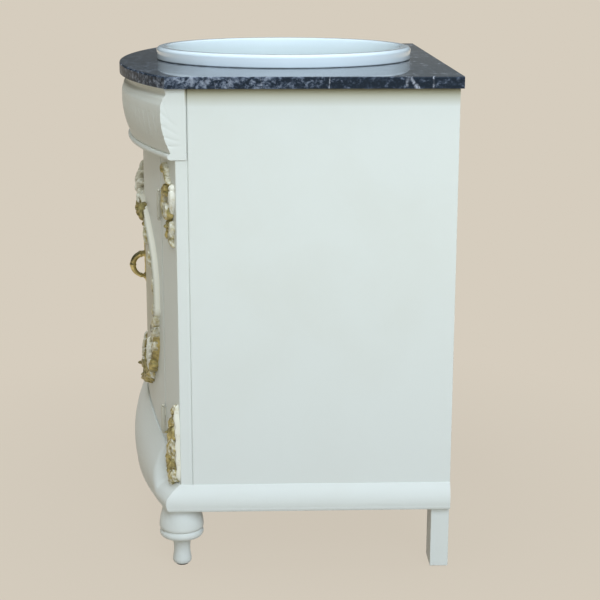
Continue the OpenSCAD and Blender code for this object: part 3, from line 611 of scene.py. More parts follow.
def sheet(bm, columns, rows, place):
    """A grid of faces with each corner at place(s, t), s and t from 0 to 1."""
    made = bmesh.ops.create_grid(bm, x_segments=columns, y_segments=rows, size=0.5)
    for vert in made["verts"]:
        vert.co = place(vert.co.x + 0.5, vert.co.y + 0.5)
    return made["verts"]


def turned(bm, profile, centre, steps):
    """Turns a profile of (radius, height) points about the upright axis through centre."""

    def place(s, t):
        angle = 2 * math.pi * s
        r, z = profile[round(t * (len(profile) - 1))]
        return Vector((centre[0] + r * math.cos(angle), centre[1] + r * math.sin(angle), z))

    sheet(bm, steps, len(profile) - 1, place)


def arc(centre, radius, start, end, steps):
    """Points of an arc in the plane of radius and height, angles in degrees."""
    angles = [math.radians(start + (end - start) * i / steps) for i in range(steps + 1)]
    return [(centre[0] + radius * math.cos(a), centre[1] + radius * math.sin(a)) for a in angles]


class Track:
    """A smooth line through points (x, z) that is walked from 0 to 1."""

    def __init__(self, points):
        self.points = [Vector(p) for p in points]
        self.reach = [0.0]
        for a, b in zip(self.points, self.points[1:]):
            self.reach.append(self.reach[-1] + (b - a).length)
        self.length = self.reach[-1]

    def at(self, s):
        """The point at s, a share of the line's length."""
        goal = min(1.0, max(0.0, s)) * self.length
        last = len(self.reach) - 1
        i = next((i for i in range(1, last) if goal <= self.reach[i]), last)
        step = self.reach[i] - self.reach[i - 1]
        t = (goal - self.reach[i - 1]) / step if step else 0.0
        return self.points[i - 1].lerp(self.points[i], t)


def volute(centre, radius, start, turns, turning=1, steps=40, eye=0.3):
    """Points that wind in from radius round centre. start is in degrees, turning is 1 or -1."""
    points = []
    for i in range(steps + 1):
        f = i / steps
        angle = math.radians(start) + turning * 2 * math.pi * turns * f
        r = radius * (1 - (1 - eye) * f**0.8)
        points.append((centre[0] + r * math.cos(angle), centre[1] + r * math.sin(angle)))
    return points


class Carving:
    """Relief planted on a bowed face. Leaves and bosses are placed from an origin (x, z) on the face."""

    SUNK = -0.0004  # the back lies this far in the face
    FRONT = 0.8  # share of a form's rows that make its front, where the rest make its back

    def __init__(self, bow, x=0.0, z=0.0):
        self.bow = bow
        self.x, self.z = x, z
        self.bm = bmesh.new()
        self.gilt = self.bm.verts.layers.float.new("gilt")
        self.hollow = self.bm.verts.layers.float.new("hollow")

    def sheet(self, columns, rows, place):
        """A grid with each corner at place(s, t), which gives x, z, out, gilt and hollow."""
        made = bmesh.ops.create_grid(self.bm, x_segments=columns, y_segments=rows, size=0.5)
        for vert in made["verts"]:
            x, z, out, gilt, hollow = place(vert.co.x + 0.5, vert.co.y + 0.5)
            vert.co = self.bow.spot(x, z, out)
            vert[self.gilt] = gilt
            vert[self.hollow] = hollow

    def limb(self, track, half_width, rise, tone, columns=30, rows=17, flat=4.0):
        """A form along a track: half_width(s), rise(s, u), and tone(s, u) for gilt and hollow.
        u runs from -1 to 1 across the front. Its back lies in the face."""
        step = 0.5 / columns

        def place(s, t):
            centre = track.at(s)
            heading = (track.at(s + step) - track.at(s - step)).normalized()
            across = Vector((heading.y, -heading.x))
            if t <= self.FRONT:
                u = math.sin(math.pi * (t / self.FRONT - 0.5))
                edge = max(0.0, 1 - abs(u) ** flat) ** 0.5
                ends = (min(1.0, 12 * s) * min(1.0, 12 * (1 - s))) ** 0.5
                out = self.SUNK + (rise(s, u) - self.SUNK) * edge * ends
            else:
                u = 1 - 2 * (t - self.FRONT) / (1 - self.FRONT)
                out = self.SUNK
            point = centre + across * (u * half_width(s))
            return (point.x, point.y, out, *tone(s, u))

        self.sheet(columns, rows, place)

    def leaf(
        self, right, up, heading, length, width, rise, bend=0.0, lobes=3, tip=0.3, gilt=0.2, edge_gilt=0.9
    ):
        """A carved leaf. heading is in degrees from straight up towards +X, and bend turns it on the way."""
        points = [Vector((self.x + right, self.z + up))]
        parts = 16
        for i in range(parts):
            angle = math.radians(heading + bend * (i + 0.5) / parts)
            points.append(points[-1] + Vector((math.sin(angle), math.cos(angle))) * (length / parts))

        def half_width(s):
            envelope = math.sin(math.pi * min(1.0, max(0.0, s)) ** 0.8) ** 0.75
            scallop = 1 - 0.26 * (0.5 + 0.5 * math.cos(2 * math.pi * lobes * s + math.pi)) ** 2
            return width * max(0.0, envelope) * scallop

        def wave(s, u):
            return math.cos(2 * math.pi * lobes * (s - 0.3 * abs(u)))

        def relief(s, u):
            swell = 0.42 + 0.58 * math.sin(math.pi * min(1.0, 0.15 + 0.85 * s)) ** 0.8
            rib = -0.3 * hump(u, 0.12) * (1 - 0.5 * s)
            return rise * (swell + tip * s * s + rib + 0.12 * abs(u) * wave(s, u))

        def tone(s, u):
            groove = hump(u, 0.14) * (1 - 0.5 * s)
            vein = (0.5 - 0.5 * wave(s, u)) * abs(u)
            border = smooth_step(0.8, 0.97, abs(u))
            front = min(1.0, gilt + (0.25 + 0.5 * gilt) * max(groove, 0.6 * vein))
            return front + (edge_gilt - front) * border, 0.8 * groove + 0.3 * vein + 0.25 * border

        self.limb(Track(points), half_width, relief, tone, columns=8 * lobes + 6)

    def leaves(self, rows):
        """Carves a leaf for each row of values."""
        for row in rows:
            self.leaf(*row)

    def boss(self, right, up, radius, height, petals=0, gilt=0.9, hollow=0.2, turn=0.0):
        """A dome, or with petals a rosette."""
        x, z = self.x + right, self.z + up

        def place(s, t):
            angle = 2 * math.pi * t + turn
            cleft = 0.5 + 0.5 * math.cos(petals * angle) if petals else 1.0
            front = min(1.0, s / self.FRONT)
            if s <= self.FRONT:
                dome = max(0.0, 1 - front**2.2) ** 0.5
                button = 0.25 * hump(front, 0.28) if petals else 0.0
                dip = 0.22 * (1 - cleft) * smooth_step(0.2, 0.5, front)
                ring = 0.2 * hump(front - 0.36, 0.08) if petals else 0.0
                out = self.SUNK + (height - self.SUNK) * max(0.0, dome * (0.86 - dip - ring) + button * dome)
                r = radius * front * (1 - 0.14 * (1 - cleft) * front)
                low = (1 - cleft) * front * 0.7 + ring * 4
            else:
                out = self.SUNK
                r = radius * (1 - 0.14 * (1 - cleft)) * (1 - s) / (1 - self.FRONT)
                low = 0.6
            return x + r * math.cos(angle), z + r * math.sin(angle), out, gilt, hollow + 0.5 * low

        self.sheet(15, 6 * petals if petals else 24, place)

    def on_doors(self, name, node, slot="gilt"):
        """Parts the carving at the doors' meeting line, and shows a half on each door."""
        bm = self.bm
        merge(bm)
        cut = bmesh.ops.bisect_plane(
            bm,
            geom=bm.verts[:] + bm.edges[:] + bm.faces[:],
            plane_co=(DOOR_LOW.x, 0, 0),
            plane_no=(1, 0, 0),
            clear_inner=True,
        )
        edges = [e for e in cut["geom_cut"] if isinstance(e, bmesh.types.BMEdge)]
        bmesh.ops.holes_fill(bm, edges=edges)
        show_pair(name, bm, slot, node, (RIGHT_DOOR, LEFT_DOOR), "gilt")


class Piece:
    """What the operators share."""

    bl_options = {"REGISTER", "UNDO"}

    @property
    def sizes(self):
        return bpy.context.scene.vanity_sizes


class VANITY_OT_panels(Piece, bpy.types.Operator):
    """Eases the edges of the cabinet's boards, posts, doors and rails"""

    bl_idname = "vanity.panels"
    bl_label = "Panels and doors"

    NODES = (
        *both("side_panel", "front_post", "door"),
        *("bottom_rail", "bottom_panel", "back_panel", "back_rail", "shelf", "corner_blocks"),
        *both("rear_leg"),
    )
    POST_WEAR = 1.8  # how much rounder than the other boards' the posts' edges are

    def execute(self, context):
        for node in self.NODES:
            wear = self.POST_WEAR if node.startswith("front_post") else 1.0
            ease(node, self.sizes.edge * wear)
        return {"FINISHED"}


class VANITY_OT_fittings(Piece, bpy.types.Operator):
    """Gives hinges, pins, screws, catches and glides their paint, metal and plastic"""

    bl_idname = "vanity.fittings"
    bl_label = "Hinges and fittings"

    EDGE = 0.0003
    HINGES = ("hinge_frame_leaves", *both("hinge_leaves"))
    # Shown as the CAD nodes that they are.
    KEPT = ("shelf_pins", "foot_bolts", "pull_screws", "glides", *both("strike"))

    def execute(self, context):
        # The hinges and their pins take cream paint that is darkened as painted shade
        for node in self.HINGES:
            ease(node, self.EDGE, 2, "hinge_paint_and_shade")
        ease("catch_magnets", self.EDGE, 2)
        for node in self.KEPT:
            frame["nodes"][node].material_slots[0].material = finish_for(record_slot(node))
        frame["nodes"]["hinge_pins"].material_slots[0].material = finish_for("hinge_paint_and_shade")
        return {"FINISHED"}


class VANITY_OT_stone(Piece, bpy.types.Operator):
    """Shows the stone top with its eased, polished edge"""

    bl_idname = "vanity.stone"
    bl_label = "Stone top"

    EDGE = 0.0006

    def execute(self, context):
        ease("counter_top", self.EDGE, 2)
        return {"FINISHED"}


class VANITY_OT_basin(Piece, bpy.types.Operator):
    """Throws the round basin: rolled rim, bowl, waste hole and overflow"""

    bl_idname = "vanity.basin"
    bl_label = "Basin"

    ROUND = 0.007  # radius of the rim's outer edge
    FOOT = 0.003  # radius under the rim, where it meets the stone
    LAND = 0.009  # width of the rim's flat top
    WALL = 0.009
    SEAT = 0.019  # how far the rim stands out over the bowl
    SWEEP = 80  # of the bowl's section, from its lip to its floor, in degrees
    WASTE = 0.0225
    WASTE_FLANGE = 0.024
    OVERFLOW = 0.011
    OVERFLOW_DROP = 0.034

    def bowl(self, radius, top_z, depth, parts):
        """Half section of a bowl, from its lip down to its floor."""
        section = []
        for i in range(parts + 1):
            a = math.radians(self.SWEEP * i / parts)
            fall = math.sin(a) / math.sin(math.radians(self.SWEEP))
            section.append((radius * math.cos(a) ** 0.6, top_z - depth * fall))
        return section

    def profile(self, rim_r, stone_z, top_z, floor_z):
        """Half section from the rim's foot over the rim, down the bowl, and up its outside."""
        rise = top_z - stone_z
        out = rim_r - self.ROUND
        rim = arc((out, stone_z + rise - self.ROUND), self.ROUND, 0, 90, 8)
        foot = arc((rim_r - self.FOOT, stone_z + self.FOOT), self.FOOT, -90, 0, 6)
        land = out - self.LAND
        roll = ((0.0, 0.0), (0.0016, 0.0003), (0.0031, 0.0014), (0.0044, 0.0035), (0.0052, 0.007))
        lip = [(land - inward, top_z - down) for inward, down in roll]
        depth = stone_z - floor_z - self.WALL - 0.004
        bowl = self.bowl(rim_r - self.SEAT - self.WALL + 0.001, stone_z, depth, 28)
        sink = ((0.014, 0.0006), (0.003, 0.002), (0.0, 0.004))
        waste = [(self.WASTE + outward, bowl[-1][1] - down) for outward, down in sink]
        waste += [(self.WASTE, floor_z), (self.WASTE + self.WASTE_FLANGE, floor_z)]
        outside = self.bowl(rim_r - self.SEAT, stone_z, depth + self.WALL, 14)[::-1]
        return foot + rim + lip + bowl + waste + outside + [foot[0]]

    def execute(self, context):
        centre, rim_r = basin_round()
        bm = bmesh.new()
        profile = self.profile(rim_r, STONE_HIGH.z, BASIN_HIGH.z, BASIN_LOW.z)
        turned(bm, profile, centre, self.sizes.turning)
        basin = show("basin_thrown", bm, CABINET, "glaze", "basin")
        self.bore_overflow(basin, centre, rim_r)
        return {"FINISHED"}

    def bore_overflow(self, basin, centre, rim_r):
        """Bores the overflow through the bowl's front wall."""
        drill = bmesh.new()
        place = Matrix.Translation((centre[0], centre[1] - rim_r / 2, STONE_HIGH.z - self.OVERFLOW_DROP))
        bmesh.ops.create_cone(
            drill,
            cap_ends=True,
            segments=40,
            radius1=self.OVERFLOW,
            radius2=self.OVERFLOW,
            depth=rim_r,
            matrix=place @ Matrix.Rotation(math.pi / 2, 4, "X"),
        )
        tool = placed("overflow_drill", drill)
        cut = basin.modifiers.new("overflow", "BOOLEAN")
        cut.operation = "DIFFERENCE"
        cut.solver = "EXACT"
        cut.object = tool
        bpy.context.view_layer.update()
        graph = bpy.context.evaluated_depsgraph_get()
        bored = bpy.data.meshes.new_from_object(basin.evaluated_get(graph))
        basin.modifiers.clear()
        basin.data = bored
        bpy.data.objects.remove(tool)


class VANITY_OT_frieze(Piece, bpy.types.Operator):
    """Carves the bellied frieze with tongues, leafed corners and a cove under the stone"""

    bl_idname = "vanity.frieze"
    bl_label = "Frieze"

    FACES = (448, 60, 20)  # along the front, up it, and back from it
    FLAT = 0.016  # how far the flat over the bead sits behind the belly
    FLAT_TOP = 0.014
    BELLY_R = 0.155
    BELLY_Z = 0.077  # height of the belly's fullest point
    COVE_R = 0.0098
    TONGUES = (0.026, 0.084)  # heights that the tongues lie between
    DEPTH = 0.078  # from the front to the curve of the back
    LEAF_VEINS = ((0.104, 2.6), (0.082, 1.2), (0.060, 0.9), (0.040, 0.55), (0.024, 0.2))  # height, slope
    BEAD_R = 0.005
    BEAD_BACK = 0.015  # how far the bead's centre sits behind the belly

    def inset(self, z):
        """How far the face sits behind the belly at height z above the lower edge."""
        height = FRIEZE_HIGH.z - FRIEZE_LOW.z
        cove_z = height - self.COVE_R + 0.001
        belly_z = max(z, self.FLAT_TOP) - self.BELLY_Z
        belly = self.BELLY_R - math.sqrt(self.BELLY_R**2 - belly_z**2)
        if z < self.FLAT_TOP:
            return belly + (self.FLAT - belly) * (1 - smooth_step(0.0095, 0.012, z))
        cove_start = cove_z - self.COVE_R * 0.9 * math.sin(math.radians(60))
        cove_edge = self.COVE_R * 0.5 - 0.001
        if z < cove_start:
            return belly + (cove_edge - belly) * smooth_step(0.091, cove_start, z)
        sine = min(1.0, abs(z - cove_z) / (self.COVE_R * 0.9))
        return max(cove_edge, self.COVE_R * math.sqrt(1 - sine * sine) - 0.001)

    def tongues(self, x, z):
        """Depth of the carved lines round each tongue, and of its short middle rib."""
        pitch = self.sizes.flute_pitch
        across = abs((x / pitch) % 1.0 - 0.5) * pitch
        low, high = self.TONGUES
        if not low < z < high:
            return 0.0
        middle = (low + high) / 2 + 0.006
        k = (z - middle) / ((high - low) / 2 + 0.006)
        half = pitch * 0.42 * math.sqrt(max(0.0, 1 - k * k))
        fade = smooth_step(low, low + 0.01, z) * (1 - smooth_step(high - 0.008, high, z))
        line = hump(across - half, 0.0014)
        rib = 0.6 * hump(across, 0.0011) * smooth_step(low + 0.008, low + 0.03, z)
        return self.sizes.flute_depth * max(line, rib) * fade

    def corner_leaf(self, back, z):
        """Depth of the leaf veins that wrap round the frieze's end, back metres from its front edge."""
        depth = 0.0
        for start, slope in self.LEAF_VEINS:
            reach = 0.020 + 0.012 * (start < 0.09)
            line = start - slope * back + 9 * back * back
            fade = 1 - smooth_step(reach * 0.5, reach, back)
            depth = max(depth, hump(z - line, 0.0014) * fade)
        return 0.0011 * depth

    def bead_inset(self, z):
        """How far the bead's face sits behind the belly, or far back above the bead."""
        rise = 0.0054**2 - (z - self.BEAD_R) ** 2
        return self.BEAD_BACK - math.sqrt(rise) if rise > 0 else self.FLAT

    def execute(self, context):
        bow = Bow(FRIEZE_HIGH.x, self.sizes.frieze_bow, FRIEZE_LOW.y)
        back_y = POST_HIGH.y - 0.0003
        half, low, height = FRIEZE_HIGH.x, FRIEZE_LOW.z, FRIEZE_HIGH.z - FRIEZE_LOW.z
        columns, rows, deep = self.FACES

        def level(t):
            return height * t**1.35

        def front(x, z):
            aside = half - abs(x)
            margin = smooth_step(0.0, 0.030, aside)
            corner = 1 - smooth_step(0.0035, 0.008, aside)
            inset = self.inset(z) + (min(self.inset(z), self.bead_inset(z)) - self.inset(z)) * corner
            cut = self.tongues(x, z) * margin + self.corner_leaf(aside, z) * (1 - margin)
            radius = bow.radius - inset - cut
            return Vector((x, bow.centre_y - math.sqrt(radius * radius - x * x), low + z))

        def rear_y(x):
            radius = bow.radius - self.DEPTH
            return min(bow.centre_y - math.sqrt(radius * radius - x * x), back_y)

        def end(s, t, side):
            """The end face, with a step at the back that leaves a shallow groove beside the panel."""
            edge = front(side * half, level(t))
            y = edge.y + (rear_y(half) - edge.y) * s
            cut = self.corner_leaf(y - edge.y, level(t)) * smooth_step(0.0, 0.05, s) * (1 - s)
            step = 0.0024 if y > back_y - 0.0014 else 0.0
            return Vector((edge.x - side * (cut + step), y, edge.z))

        def across(s, depth, t):
            if s in (0.0, 1.0):
                return end(depth, t, 2 * s - 1)
            edge = front((2 * s - 1) * half, level(t))
            return Vector((edge.x, edge.y + (rear_y(edge.x) - edge.y) * depth, edge.z))

        bm = bmesh.new()
        for depth in (0.0, 1.0):
            sheet(bm, columns, rows, lambda s, t, depth=depth: across(s, depth, t))
        for t in (0.0, 1.0):
            sheet(bm, columns, deep, lambda s, depth, t=t: across(s, depth, t))
        for side in (1, -1):
            sheet(bm, deep, rows, lambda s, t, side=side: end(s, t, side))
        show("frieze_carved", bm, CABINET, "cream_paint", "frieze")
        self.bead(bow, low)
        return {"FINISHED"}

    def bead(self, bow, low):
        """Round bead along the lower edge, with a fillet over it."""
        radius = self.BEAD_R

        def place(s, t):
            angle = 2 * math.pi * t
            x = (2 * s - 1) * SIDE_X
            r = bow.radius - self.BEAD_BACK + radius * math.cos(angle)
            y = bow.centre_y - math.sqrt(r * r - x * x)
            return Vector((x, y, low + radius + radius * math.sin(angle)))

        bm = bmesh.new()
        sheet(bm, 160, 24, place)
        close_ends(bm)
        show("frieze_bead_turned", bm, CABINET, "cream_paint", "frieze_bead")


class BaseShape:
    """The swelling section that the skirt and the base's side mouldings share."""

    LIP = 0.003  # how far the section stands out at its top
    BULGE = 0.029  # and where it is fullest
    TURN = math.radians(129)  # of the swell's sine, from the top to the foot
    FALL = 0.032  # width over which the skirt's arch drops to the side mouldings
    BEAD_AT = 0.93  # the bead's place down the section, as a share of it
    BEAD_HALF = 0.06  # half its width, as a share too

    def swell(self, t):
        """How far the section stands out, t from 0 at its top to 1."""
        return self.LIP + (self.BULGE - self.LIP) * math.sin(self.TURN * t)

    def bead(self, t):
        """Rise of the bead near the lower edge."""
        across = (t - self.BEAD_AT) / self.BEAD_HALF
        return self.sizes.bead_rise * math.sqrt(max(0.0, 1 - across * across))

    def shell(self, face, back, columns, rows):
        """A closed shape of a face, a back, and strips between them at the top, foot and ends."""
        bm = bmesh.new()
        sheet(bm, columns, rows, face)
        sheet(bm, columns, rows, back)
        for t in (0.0, 1.0):
            sheet(bm, columns, 1, lambda s, r, t=t: face(s, t).lerp(back(s, t), r))
        for s in (0.0, 1.0):
            sheet(bm, 1, rows, lambda r, t, s=s: face(s, t).lerp(back(s, t), r))
        return bm


class VANITY_OT_skirt(Piece, BaseShape, bpy.types.Operator):
    """Carves the swelling skirt under the doors, with a bead along its lower edge"""

    bl_idname = "vanity.skirt"
    bl_label = "Skirt"

    def execute(self, context):
        bow = body_face()
        base_z, band_z = BAND_LOW.z, BAND_HIGH.z
        rise = RAIL_TOP_Z - INNER_FLOOR_Z
        door_x = DOOR_HIGH.x
        arch_r = (door_x * door_x + rise * rise) / (2 * rise)
        corner = math.asin(SIDE_X / bow.radius)

        def top(x):
            near = min(abs(x), door_x)
            arch = RAIL_TOP_Z - arch_r + math.sqrt(arch_r * arch_r - near * near)
            fall = smooth_step(door_x, door_x + self.FALL, abs(x))
            return arch * (1 - fall) + band_z * fall

        def front(s, t):
            angle = corner * (2 * s - 1)
            x = bow.radius * math.sin(angle)
            z = base_z + (top(x) - base_z) * (1 - t)
            r = bow.radius + self.swell(t) + self.bead(1 - (z - base_z) / (band_z - base_z))
            return Vector((r * math.sin(angle), bow.centre_y - r * math.cos(angle), z))

        def rear(s, t):
            x = bow.radius * math.sin(corner * (2 * s - 1))
            return bow.spot(x, top(x) + (base_z - top(x)) * t, -0.0001)

        bm = self.shell(front, rear, 240, 80)
        show("skirt_carved", bm, CABINET, "cream_paint", "skirt")
        return {"FINISHED"}


class VANITY_OT_side_mouldings(Piece, BaseShape, bpy.types.Operator):
    """Runs the base moulding along both sides, mitred to the skirt and beaded below"""

    bl_idname = "vanity.side_mouldings"
    bl_label = "Side mouldings"

    def execute(self, context):
        bow = body_face()
        corner = math.asin(SIDE_X / bow.radius)
        corner_y = bow.spot(SIDE_X, 0).y
        height = BAND_HIGH.z - BAND_LOW.z

        def face(s, t):
            swell = self.swell(t) + self.bead(t)
            start = corner_y - swell * math.cos(corner)
            y = start + (BAND_HIGH.y - start) * s
            return Vector((SIDE_X + swell * math.sin(corner), y, BAND_HIGH.z - height * t))

        def back(s, t):
            return Vector((SIDE_X, corner_y + (BAND_HIGH.y - corner_y) * s, BAND_HIGH.z - height * t))

        show_pair("base_band", self.shell(face, back, 60, 56), "cream_paint", "base_moulding")
        return {"FINISHED"}


class VANITY_OT_feet(Piece, bpy.types.Operator):
    """Turns the two front feet"""

    bl_idname = "vanity.feet"
    bl_label = "Turned feet"

    TOE_R = 0.017
    NECK_R = 0.0148
    TOE_H = 0.054
    TOP_R = 0.0345
    # How far each point sits in from the toe's radius, and its height over the floor.
    TOE = ((0.004, 0.0), (0.0018, 0.0009), (0.0006, 0.0028), (0.0, 0.006), (0.0002, 0.0095), (0.0008, 0.013))

    def profile(self):
        """Half section from the floor up: necked toe, rounded lip, bulb and collar."""
        low, high = FOOT_LOW.z, FOOT_HIGH.z
        foot_r = (FOOT_HIGH.x - FOOT_LOW.x) / 2
        toe, lip_z = self.TOE_R, self.TOE_H
        points = [(0.0, low)] + [(toe - inward, low + up) for inward, up in self.TOE]
        for i in range(11):
            k = i / 5 - 1
            points.append((self.NECK_R + 0.0013 * k * k, lip_z * (0.57 + 0.26 * k)))
        points += [(toe - 0.0002, lip_z * 0.92), (toe + 0.0018, lip_z - 0.001)]
        points += [(toe + 0.0045, lip_z + 0.0004), (foot_r - 0.016, lip_z + 0.0012)]
        points += arc((foot_r - 0.0088, lip_z + 0.0098), 0.0084, -80, 52, 10)
        start = lip_z + 0.0172
        points += [(foot_r - 0.0026, start), (foot_r - 0.0012, start + 0.0016)]
        bulb, collar = start + 0.0045, high - 0.010
        bulb_h = collar - start - 0.0045
        for i in range(15):
            reach = self.TOP_R + (foot_r - self.TOP_R) * math.cos(math.radians(90 * i / 14))
            points.append((reach, bulb + bulb_h * i / 14))
        return points + [(self.TOP_R, high), (0.0, high)]

    def execute(self, context):
        centre = ((FOOT_LOW.x + FOOT_HIGH.x) / 2, (FOOT_LOW.y + FOOT_HIGH.y) / 2)
        bm = bmesh.new()
        turned(bm, self.profile(), centre, self.sizes.turning // 2)
        show_pair("foot_turned", bm, "cream_paint", "front_foot")
        return {"FINISHED"}


class VANITY_OT_scroll_frame(Piece, bpy.types.Operator):
    """Carves the scroll frame: an upper and a lower scroll on each door"""

    bl_idname = "vanity.scroll_frame"
    bl_label = "Scroll frame"

    RISE = 0.011  # relief of the moulding
    CURL = 0.0125  # radius of its curls
    # Leaves along the oval: place in degrees, heading, length, gilt.
    OVAL_LEAVES = (
        (80, 104, 0.040, 0.3),
        (66, 112, 0.046, 0.9),
        (46, 140, 0.044, 0.5),
        (28, 160, 0.040, 0.45),
        (-27, 200, 0.036, 0.95),
        (-40, 216, 0.030, 0.6),
        (-50, 232, 0.046, 0.9),
        (-66, 246, 0.046, 0.9),
    )
    # Leaves down the frame's side: height over its middle, heading, length, bend, lobes.
    SIDE_LEAVES = (
        (0.062, 174, 0.046, 26, 1),
        (0.010, 178, 0.034, 40, 2),
        (-0.014, 186, 0.036, 40, 2),
        (-0.038, 190, 0.036, 36, 3),
        (-0.062, 196, 0.034, 30, 2),
    )
    # Leaves at the lower corner: in from the side, below the middle, heading, length, width, gilt.
    CORNER_LEAVES = (
        (0.052, 0.150, -14, 0.082, 0.014, 0.15),
        (0.062, 0.158, -42, 0.080, 0.014, 0.75),
        (0.082, 0.166, -64, 0.080, 0.012, 0.9),
        (0.060, 0.140, 8, 0.060, 0.011, 0.2),
    )

    def outline(self, angle, half_w, half_h, middle_z):
        """A point of the frame's middle line, angle in degrees from the right."""
        c, s = math.cos(math.radians(angle)), math.sin(math.radians(angle))
        x = half_w * math.copysign(abs(c) ** (2 / OVAL_POWER), c)
        return x, middle_z + half_h * math.copysign(abs(s) ** (2 / OVAL_POWER), s)

    def execute(self, context):
        width, curl = self.sizes.frame_width / 2, self.CURL
        half_w = FRAME_HIGH.x - width
        middle_z = (FRAME_LOW.z + FRAME_HIGH.z) / 2
        half_h = (FRAME_HIGH.z - FRAME_LOW.z) / 2 - width
        carving = Carving(body_face())
        up_eye = (half_w - curl + 0.001, middle_z - 0.006)
        low_eye = (half_w - curl - 0.008, middle_z - 0.046)
        upper = [self.outline(a, half_w, half_h, middle_z) for a in range(84, 1, -3)]
        upper += volute(up_eye, curl, 4, 1.15, turning=-1)
        lower = volute(low_eye, curl, 20, 1.15, turning=1)[::-1]
        lower += [self.outline(-a, half_w, half_h, middle_z) for a in range(18, 82, 3)]
        self.scroll(carving, Track(upper), width, curl_first=False)
        self.scroll(carving, Track(lower), width, curl_first=True)
        for eye in (up_eye, low_eye):
            carving.boss(*eye, 0.0052, self.RISE + 0.002, gilt=0.35, hollow=0.1)
        self.sprigs(carving, half_w, half_h, middle_z)
        carving.on_doors("scroll", "scroll_frame", "cream_paint")
        return {"FINISHED"}

    def scroll(self, carving, track, width, curl_first):
        """A moulding with a groove along it that thins into its curl."""

        def into_curl(s):
            far = 1 - s if curl_first else s
            return smooth_step(1 - 0.09 / track.length, 1.0, far)

        def half_width(s):
            taper = min(1.0, 18 * s) * min(1.0, 18 * (1 - s))
            return width * (1 - 0.62 * into_curl(s)) * taper**0.4

        def rise(s, u):
            groove = 0.34 * hump(u - 0.34, 0.16)
            cove = min(1.0, (1 + u) / 0.8) ** 1.6
            return self.RISE * (1 - groove + 0.12 * into_curl(s)) * cove

        def tone(s, u):
            groove = hump(u - 0.34, 0.2)
            near_crest = smooth_step(0.16, 0.24, s) * (1 - smooth_step(0.32, 0.42, s))
            # Painted shade: face darkens the frame's front face, turned from the key lamp, with umber
            # through the hollow value
            face = smooth_step(-0.5, -0.2, u)
            leafed = smooth_step(0.14, 0.26, s) if curl_first else near_crest * face
            return 0.05 + 0.85 * leafed + 0.38 * face, 0.55 * face + 0.35 * groove

        carving.limb(track, half_width, rise, tone, columns=150, rows=24, flat=5.0)

    def sprigs(self, carving, half_w, half_h, middle_z):
        """Leaves that grow along the scrolls."""
        for angle, heading, length, gilt in self.OVAL_LEAVES:
            x, z = self.outline(angle, half_w, half_h, middle_z)
            outward = 0.003 if angle > 0 else -0.003
            inward = 0.006 if 0 < angle < 60 else 0.0
            shape = (heading, length, 0.0095, 0.0145, 18)
            carving.leaf(x - inward, z + outward, *shape, gilt=gilt, edge_gilt=max(0.35, gilt))
        x = half_w - 0.004
        for height, heading, length, bend, lobes in self.SIDE_LEAVES:
            shape = (heading, length, 0.008, 0.0125, bend, lobes, 0.2)
            carving.leaf(x - 0.06 * abs(height), middle_z + height, *shape, gilt=0.45, edge_gilt=0.5)
        for x, z, heading, length, width, gilt in self.CORNER_LEAVES:
            shape = (heading, length, width, 0.0125, -16, 5, 0.2)
            carving.leaf(half_w - x, middle_z - z, *shape, gilt=gilt, edge_gilt=0.6)


# The rows of leaves below hold what Carving.leaf takes, from an origin on the piece:
# right, up, heading, length, width, rise, bend, lobes, tip, gilt, edge_gilt.


class VANITY_OT_crest(Piece, bpy.types.Operator):
    """Carves the crest of leaves over the doors' meeting line"""

    bl_idname = "vanity.crest"
    bl_label = "Crest"

    FAN = (
        (0.006, -0.0086, 26, 0.048, 0.0115, 0.017, 30, 3, 0.05, 0.15, 0.42),
        (0.009, -0.0114, 54, 0.054, 0.012, 0.015, 34, 3, 0.05, 0.15, 0.42),
        (0.010, -0.0142, 82, 0.058, 0.012, 0.013, 26, 3, 0.05, 0.15, 0.42),
        (0.008, -0.0168, 108, 0.050, 0.011, 0.011, -40, 3, 0.05, 0.15, 0.42),
        (0.0, 0.004, 0, 0.040, 0.0085, 0.013, 0.0, 3, -0.15, 0.12, 0.35),
    )
    FALL = (
        (0.004, 0.004, 150, 0.030, 0.010, 0.019, 20, 2, 0.2, 0.12, 0.3),
        (0.0, -0.006, 180, 0.034, 0.009, 0.012, 0.0, 2, 0.1, 0.2, 0.8),
        (0.0, -0.032, 180, 0.048, 0.015, 0.0205, 0.0, 4, -0.1, 0.95, 0.9),
        (0.004, -0.030, 150, 0.036, 0.0095, 0.013, 26, 3, 0.3, 0.9, 0.8),
        (0.009, -0.022, 126, 0.034, 0.009, 0.011, 30, 3, 0.3, 0.7, 0.8),
    )

    def execute(self, context):
        carving = Carving(body_face(), 0.0, FRAME_HIGH.z)
        carving.leaves(self.FAN)
        carving.boss(0.0, 0.003, 0.0175, 0.0235, gilt=0.15, hollow=0.05)
        carving.leaves(self.FALL)
        carving.boss(0.0, -0.084, 0.006, 0.010)
        carving.boss(0.0, -0.097, 0.0042, 0.0065)
        carving.on_doors("crest_carved", "crest")
        return {"FINISHED"}


